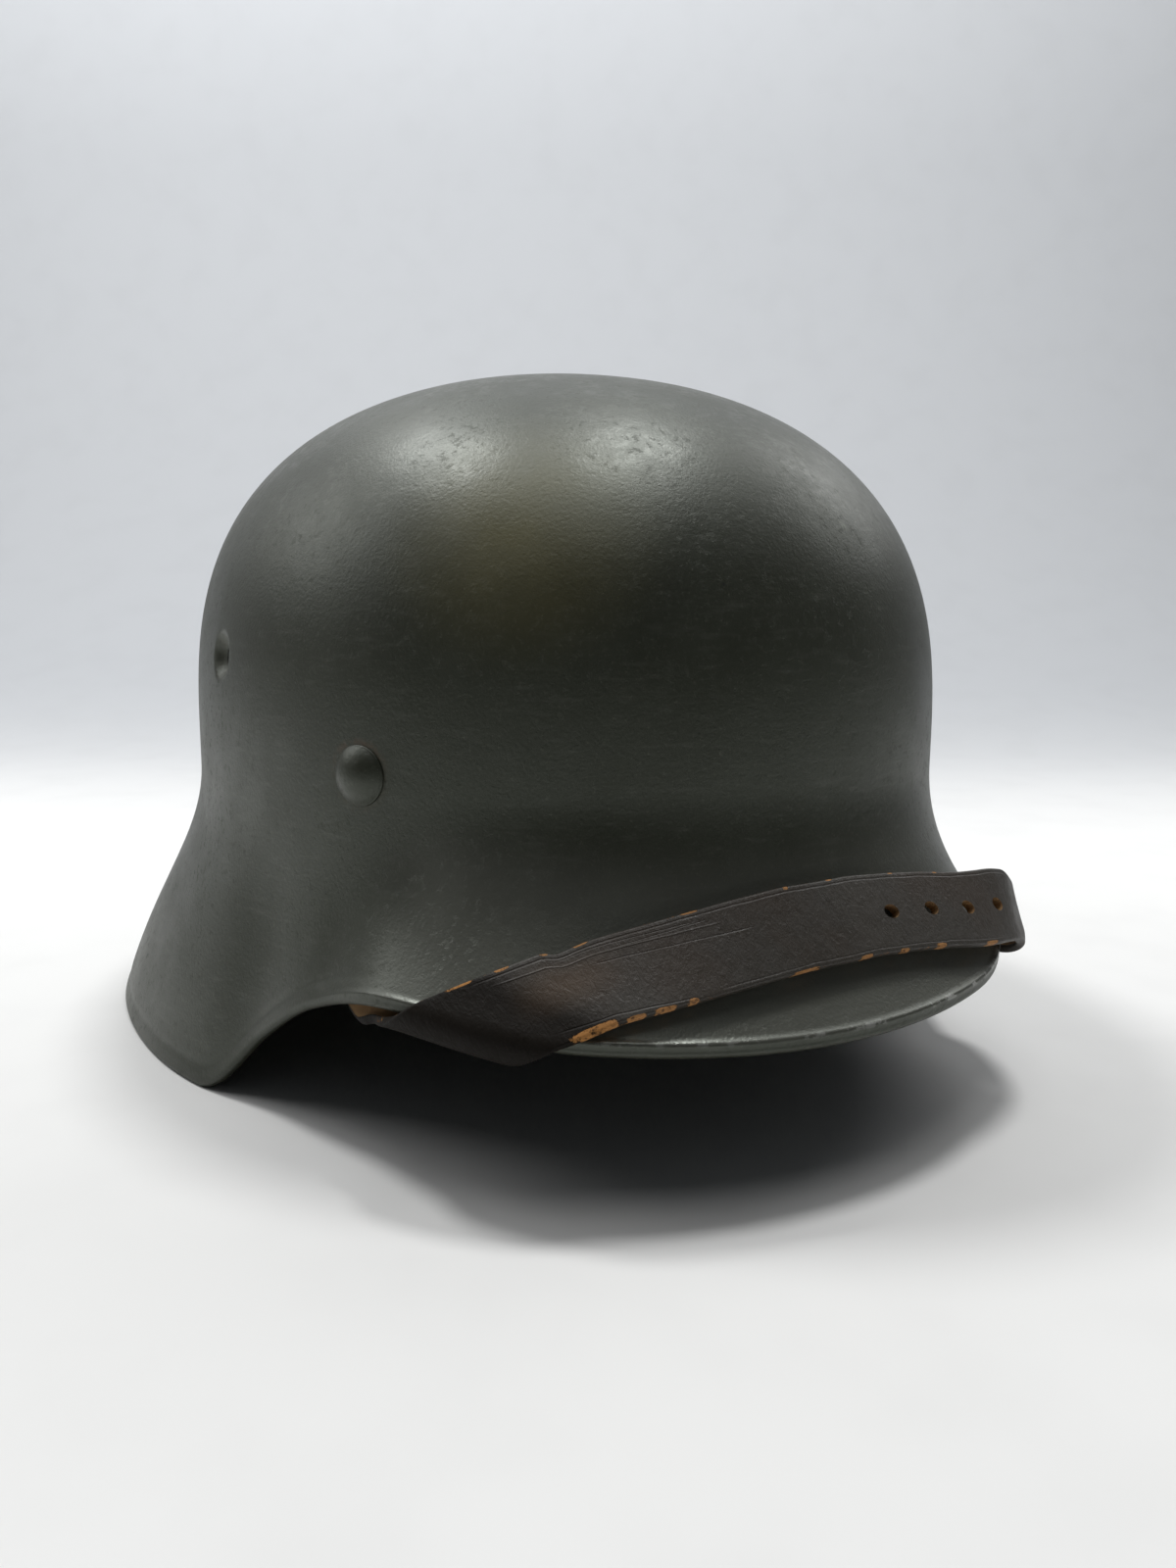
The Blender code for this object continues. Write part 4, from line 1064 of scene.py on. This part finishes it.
def paint_material(name, rivet_points=(), vent_points=(), rim=False):
    """Old field-grey paint: fine grain, glossy mottled wear on the crown, chips along the rim, and dust with
    a painted reflection on the visor's top.
    """
    n = Nodes(name)
    height = n.add("SeparateXYZ")
    n.tree.links.new(n.place, height.inputs[0])
    up = height.outputs["Z"]
    cloud = n.noise(16.0, 4.0, 0.6)
    level = n.noise(110.0, 3.0, 0.6, n.stretched(n.place, (1.0, 1.0, 6.0)))
    speck = n.noise(1300.0, 2.0, 0.6)
    patch = n.noise(300.0, 6.0, 0.75)
    crown = n.band(up, 0.112, 0.140)
    colour = n.mix(n.band(cloud, 0.36, 0.66), PAINT_DARK, PAINT_COLOUR)
    colour = n.mix(n.band(level, 0.52, 0.78, 0.0, 0.16), colour, DUST_AND_SHEEN)
    colour = n.mix(n.band(speck, 0.58, 0.74, 0.0, 0.5), colour, PAINT_SPECK)
    _, olive = n.near(OLIVE_PLACE, 0.034)
    colour = n.mix(n.times(olive, n.band(cloud, 0.25, 0.6, 0.4, 0.95)), colour, PAINT_OLIVE)
    worn = n.band(n.noise(45.0, 3.0, 0.6), 0.42, 0.60)
    wear = n.times(crown, n.times(worn, n.band(patch, 0.47, 0.60)))
    colour = n.mix(n.times(wear, 0.26), colour, DUST_AND_SHEEN)
    for place, radius, tint, share in PAINT_SPOTS:
        _, spot = n.near(place, radius)
        colour = n.mix(n.times(spot, share), colour, tint)

    rough = n.band(n.noise(70.0, 4.0, 0.6), 0.3, 0.7, 0.42, 0.49)
    rough = n.plus(rough, n.times(wear, -0.04))
    pits = n.times(n.band(n.noise(520.0, 4.0, 0.7), 0.54, 0.66), n.band(cloud, 0.40, 0.62, 0.35, 1.0))
    rough = n.plus(rough, n.times(pits, 0.16))
    if rim:
        ridge, chips, visor_dust_and_sheen = rim_wear_and_sheen(n, height.outputs["X"])
        # Painted reflection: the visor's top is lightened with the dust colour, partly for dust and partly
        # for the overhead light that it reflects
        colour = n.mix(n.times(visor_dust_and_sheen, 0.45), colour, DUST_AND_SHEEN)
        colour = n.mix(n.times(ridge, 0.35), colour, DUST_AND_SHEEN)
        colour = n.mix(n.times(chips, 0.85), colour, BARE_STEEL)
        rough = n.plus(rough, n.times(ridge, -0.14))
        rough = n.plus(rough, n.times(visor_dust_and_sheen, -0.05))
    dark = None
    for point in rivet_points:
        distance, _ = n.near(tuple(point), RIVET_HEAD)
        ring = n.peak(distance, RIVET_HEAD / 2 + 0.5 * MM, 1.5 * MM)
        above = n.band(up, point[2] + 1.0 * MM, point[2] + 6.0 * MM, 0.25, 1.0)
        ring = n.times(ring, above)
        dark = n.most(dark, ring)
    for point in vent_points:
        _, spot = n.near(tuple(point), VENT_DISH * 0.6)
        dark = n.most(dark, n.times(spot, 0.6))
    if dark is not None:
        dark = n.times(dark, n.band(n.noise(420.0, 3.0, 0.6), 0.38, 0.60))
        colour = n.mix(n.times(dark, 0.8), colour, RUST)

    normal = n.bump(n.noise(30.0, 2.0, 0.4), 0.35 * MM, 0.3)
    normal = n.bump(n.noise(1250.0, 3.0, 0.6), 0.10 * MM, 0.7, normal)
    normal = n.bump(pits, -0.05 * MM, 0.5, normal)
    return n.finish(base_color=colour, roughness=rough, normal=normal, specular_ior_level=0.75,
                    specular_tint=(0.93, 1.0, 0.89))


OLIVE_PLACE = (-0.044, -0.094, 0.126)

# Single marks on the paint: place, radius, colour and strength
PAINT_SPOTS = (
    ((-0.0092, -0.1126, 0.1142), 0.0007, (0.004, 0.004, 0.003), 1.0),
    ((0.0256, -0.1028, 0.1267), 0.0018, (0.16, 0.17, 0.14), 0.7),
)

# Worn spots on the strap's edges: place in mm along it from the helmet's front, edge (1 upper, -1 lower),
# half length in mm, and depth as a share of half the width
EDGE_WEAR = (
    (-47.0, -1, 7.5, 0.20),
    (-38.5, -1, 3.0, 0.08),
    (-32.6, -1, 3.4, 0.10),
    (-27.3, -1, 1.6, 0.13),
    (-3.0, -1, 6.0, 0.05),
    (11.8, -1, 2.8, 0.08),
    (22.3, -1, 2.0, 0.08),
    (33.0, -1, 2.6, 0.12),
    (50.0, -1, 3.8, 0.10),
    (-65.0, 1, 4.2, 0.10),
    (-56.8, 1, 2.6, 0.10),
    (-48.8, 1, 1.4, 0.08),
    (-42.0, 1, 2.2, 0.08),
    (-21.3, 1, 3.2, 0.08),
    (-0.7, 1, 1.0, 0.12),
    (10.0, 1, 1.4, 0.07),
    (26.5, 1, 1.1, 0.07),
    (40.2, 1, 1.2, 0.08),
)

# Creases and tooled lines: from and to in mm, across at each end, half width across, and height (raised is
# positive)
STRAP_LINES = (
    (-62.0, 75.0, 0.86, 0.87, 0.035, -0.7),
    (-58.0, -18.0, 0.68, 0.56, 0.030, 0.7),
    (-40.0, -12.0, 0.41, 0.27, 0.025, -0.7),
    (-44.0, -24.0, 0.80, 0.74, 0.022, -0.6),
    (-36.0, -20.0, 0.66, 0.70, 0.020, -0.5),
    (-52.0, -28.0, -0.74, -0.90, 0.030, -0.6),
    (-20.0, 60.0, -0.88, -0.86, 0.030, -0.4),
)


def leather_material():
    """Dark grained strap leather: tooled lines, fine wrinkles across, raw tan along worn edges, and painted
    shade on the end that drops round the rim.
    """
    n = Nodes("strap_leather_worn")
    uv, metres, wide = n.uv("strap")
    along = n.times(metres, 1000.0)
    across = n.sum("DIVIDE", n.sum("SUBTRACT", wide, 0.5), 0.4)
    cloud = n.noise(26.0, 4.0, 0.6)
    colour = n.mix(n.band(n.noise(34.0, 3.0, 0.5), 0.44, 0.66, 0.0, 0.6), LEATHER_COLOUR, LEATHER_BROWN)
    colour = n.mix(n.band(cloud, 0.5, 0.8, 0.0, 0.5), colour, LEATHER_DUSTY)
    # Painted shade: beyond about 50 mm towards the wearer's right, the strap turns near black and less glossy
    # where it drops into the notch and round the rim, in the shadow under the shell
    shaded_low_end = n.band(n.sum("MULTIPLY_ADD", across, 8.0, along), -45.0, -56.0)
    colour = n.mix(shaded_low_end, colour, LEATHER_PAINTED_SHADE)
    rubbed = n.times(n.peak(along, -47.0, 13.0), n.peak(across, 0.25, 0.8))
    colour = n.mix(n.times(rubbed, 0.7), colour, LEATHER_RUBBED)

    edge = n.sum("ABSOLUTE", across)
    nicks = n.times(n.band(edge, 0.95, 0.99), n.band(n.noise(330.0, 4.0, 0.7), 0.60, 0.68))
    marks = None
    for place, side, reach, deep in EDGE_WEAR:
        spot = n.times(n.peak(along, place, reach),
                     n.band(n.times(across, float(side)), 1.0 - deep, 1.0 - deep * 0.4))
        marks = n.most(marks, spot)
    ragged = n.noise(520.0, 5.0, 0.75)
    marks = n.plus(marks, n.sum("MULTIPLY_ADD", ragged, 1.4, -0.75))
    raw = n.most(n.band(marks, 0.28, 0.44), n.times(nicks, 0.7), clamp=True)
    tan = n.mix(n.band(n.noise(900.0, 3.0, 0.7), 0.30, 0.52), LEATHER_BROWN, LEATHER_RAW)
    colour = n.mix(raw, colour, tan)

    lines = None
    wave = n.noise(160.0, 2.0, 0.5, n.stretched(uv, (1.0, 0.02, 1.0)))
    wave = n.sum("MULTIPLY_ADD", wave, 0.05, -0.025)
    for start, end, here, there, width, depth in STRAP_LINES:
        slope = (there - here) / (end - start)
        middle = n.sum("MULTIPLY_ADD", along, slope, here - start * slope)
        away = n.sum("SUBTRACT", n.plus(across, wave), middle)
        ends = n.times(n.band(along, start - 3.0, start + 3.0), n.band(along, end + 3.0, end - 3.0))
        line = n.times(n.times(n.peak(away, 0.0, width), depth), ends)
        lines = line if lines is None else n.plus(lines, line)
    grain = n.noise(1700.0, 3.0, 0.6)
    wrinkle = n.noise(1.0, 4.0, 0.62, n.stretched(uv, (900.0, 9.0, 1.0)), 0.6)
    normal = n.bump(lines, 0.16 * MM, 0.9)
    normal = n.bump(wrinkle, 0.30 * MM, 0.7, normal)
    normal = n.bump(grain, 0.12 * MM, 0.7, normal)
    normal = n.bump(raw, -0.18 * MM, 0.9, normal)
    rough = n.band(n.noise(300.0, 3.0, 0.6), 0.3, 0.7, 0.46, 0.60)
    rough = n.plus(rough, n.times(raw, 0.3), clamp=True)
    gloss = n.sum("MULTIPLY_ADD", shaded_low_end, -0.4, 0.5)
    return n.finish(base_color=colour, roughness=rough, normal=normal, specular_ior_level=gloss)


def flesh_material():
    """The strap's rough inner side: dusty tan suede."""
    n = Nodes("strap_leather_flesh")
    fibre = n.noise(900.0, 5.0, 0.75)
    cloud = n.noise(40.0, 3.0, 0.6)
    colour = n.mix(n.band(cloud, 0.3, 0.7), FLESH_DARK, LEATHER_FLESH)
    colour = n.mix(n.band(fibre, 0.5, 0.75, 0.0, 0.5), colour, FLESH_LIGHT)
    normal = n.bump(fibre, 0.12 * MM, 0.9)
    return n.finish(base_color=colour, roughness=0.9, normal=normal, specular_ior_level=0.2)


def steel_material():
    """Dull, slightly stained plain steel for the hidden fittings."""
    n = Nodes("plain_steel_worn")
    stain = n.noise(120.0, 4.0, 0.65)
    colour = n.mix(n.band(stain, 0.42, 0.66), STEEL_COLOUR, STEEL_DARK)
    colour = n.mix(n.band(n.noise(260.0, 4.0, 0.7), 0.62, 0.75, 0.0, 0.7), colour, RUST)
    rough = n.band(stain, 0.3, 0.7, 0.34, 0.55)
    normal = n.bump(n.noise(800.0, 2.0, 0.5), 0.03 * MM, 0.6)
    return n.finish(base_color=colour, roughness=rough, normal=normal, metallic=0.9)


def set_material(item, *materials):
    item.data.materials.clear()
    for material in materials:
        item.data.materials.append(material)


# Stage, lights and camera. Ahead is the way the camera looks, along the floor.

FLOOR_COLOUR = (0.80, 0.80, 0.79)
# Painted shade for the floor behind the camera, also used for the paper's faint mottle
FLOOR_SHADE_AND_MOTTLE = (0.22, 0.22, 0.22)
WALL_COLOUR = (0.505, 0.520, 0.540)
WALL_DISTANCE = 0.42
WALL_BEND = 0.55
STAGE_FRONT = -2.2
STAGE_WIDTH = 4.0
STAGE_HEIGHT = 2.4
HEADING = math.radians(25.04)
AHEAD = np.array([math.sin(HEADING), math.cos(HEADING), 0.0])
ASIDE = np.array([AHEAD[1], -AHEAD[0], 0.0])


def stage_material():
    """Matt paper: white on the floor and cooler on the wall. The floor greys into the wall colour before the
    bend, as painted shade for the dimmer far floor, and turns dark well behind the camera, as painted shade
    for the unlit room there.
    """
    n = Nodes("pale_paper")
    along = n.add("VectorMath")
    along.operation = "DOT_PRODUCT"
    n.tree.links.new(n.place, along.inputs[0])
    along.inputs[1].default_value = AHEAD
    out = along.outputs["Value"]
    # Painted shade: the floor greys into the wall colour well before the bend, for the dimmer light on the
    # far floor
    colour = n.mix(n.band(out, 0.12, 0.66), FLOOR_COLOUR, WALL_COLOUR)
    # Painted shade: the floor turns dark well behind the camera, for the unlit room around it
    colour = n.mix(n.band(out, -0.24, -0.90), colour, FLOOR_SHADE_AND_MOTTLE)
    # The paper's faint mottle
    colour = n.mix(n.band(n.noise(30.0, 2.0, 0.5), 0.4, 0.8, 0.0, 0.04), colour, FLOOR_SHADE_AND_MOTTLE)
    return n.finish(base_color=colour, roughness=0.8, specular_ior_level=0.2)


def make_stage():
    """A pale floor that sweeps up into a wall behind the helmet, square to the camera's heading."""
    profile = [(STAGE_FRONT, 0.0), (0.0, 0.0), (WALL_DISTANCE - 0.02, 0.0)]
    for turn in np.radians(np.linspace(0.0, 90.0, 61)):
        profile.append((WALL_DISTANCE + WALL_BEND * math.sin(turn), WALL_BEND * (1 - math.cos(turn))))
    profile.append((WALL_DISTANCE + WALL_BEND, STAGE_HEIGHT))
    points = []
    for out, up in profile:
        for side in (-STAGE_WIDTH / 2, STAGE_WIDTH / 2):
            points.append(AHEAD * out + ASIDE * side + np.array([0.0, 0.0, up]))
    faces = [(2 * i, 2 * i + 1, 2 * i + 3, 2 * i + 2) for i in range(len(profile) - 1)]
    floor = new_mesh("floor", points, faces)
    set_material(floor, stage_material())


# Each lamp's place, radius and power. The strong and dim pairs make the glows on the crown and its sides.
LAMPS = (
    ("strong_left", (-0.360, 0.440, 1.190), 0.12, 27.0),
    ("strong_right", (0.260, 0.060, 1.290), 0.12, 27.0),
    ("dim_left", (-0.530, 0.320, 0.500), 0.20, 4.2),
    ("dim_right", (0.500, 0.020, 0.500), 0.20, 3.4),
    ("ceiling", (-0.123, -0.264, 1.470), 0.40, 12.0),
)


def make_lights():
    for name, place, radius, power in LAMPS:
        lamp = bpy.data.lights.new(name, "POINT")
        lamp.shadow_soft_size = radius
        lamp.energy = power
        show(name, lamp).location = place
    world = bpy.data.worlds.new("studio")
    world.use_nodes = True
    background = world.node_tree.nodes["Background"]
    background.inputs["Color"].default_value = (0.90, 0.95, 1.0, 1.0)
    background.inputs["Strength"].default_value = 0.06
    bpy.context.scene.world = world
    bpy.context.scene.view_settings.view_transform = "Standard"


def make_camera():
    camera = bpy.data.cameras.new("camera")
    camera.sensor_width = SENSOR
    camera.lens = FOCAL_PIXELS / max(PHOTO_SIZE) * SENSOR
    camera.clip_start = 0.01
    item = show("camera", camera)
    heading = Matrix.Rotation(-HEADING, 4, "Z")
    pitch = Matrix.Rotation(math.radians(90.0 + CAMERA_PITCH), 4, "X")
    roll = Matrix.Rotation(math.radians(CAMERA_ROLL), 4, "Z")
    item.matrix_world = Matrix.Translation(CAMERA_PLACE) @ heading @ pitch @ roll
    bpy.context.scene.camera = item


def main():
    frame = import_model()
    make_camera()
    make_stage()
    make_lights()

    leather = leather_material()
    flesh = flesh_material()
    steel = steel_material()
    shell = make_shell()
    rivets, rivet_places = make_rivets()
    long_strap = make_long_strap(leather, flesh)
    short_strap = make_short_strap(leather, flesh)
    buckle, tongue = make_buckle()

    rivet_points = [item.translation for item in rivet_places.values()]
    vent_points = [item.translation for item in vent_frames()]
    set_material(shell, paint_material("field_paint_worn", rivet_points, vent_points, rim=True))
    rivet_paint = paint_material("field_paint_rivets")
    for rivet in rivets.values():
        set_material(rivet, rivet_paint)
        for prong in rivet.children:
            set_material(prong, steel)
    set_material(buckle, steel)
    set_material(tongue, steel)
    for name in ("strap_lug_right", "strap_lug_left"):
        for slot in frame["nodes"][name].material_slots:
            slot.material = steel

    pieces = [
        (shell, "shell", "field_paint"),
        (long_strap, "strap_long", "strap_leather"),
        (short_strap, "strap_short", "strap_leather"),
        (buckle, "buckle", "plain_steel"),
    ]
    pieces += [(rivet, name, "field_paint") for name, rivet in rivets.items()]
    for piece, name, slot in pieces:
        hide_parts(name)
        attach(piece, "root")
    bpy.context.view_layer.update()


main()
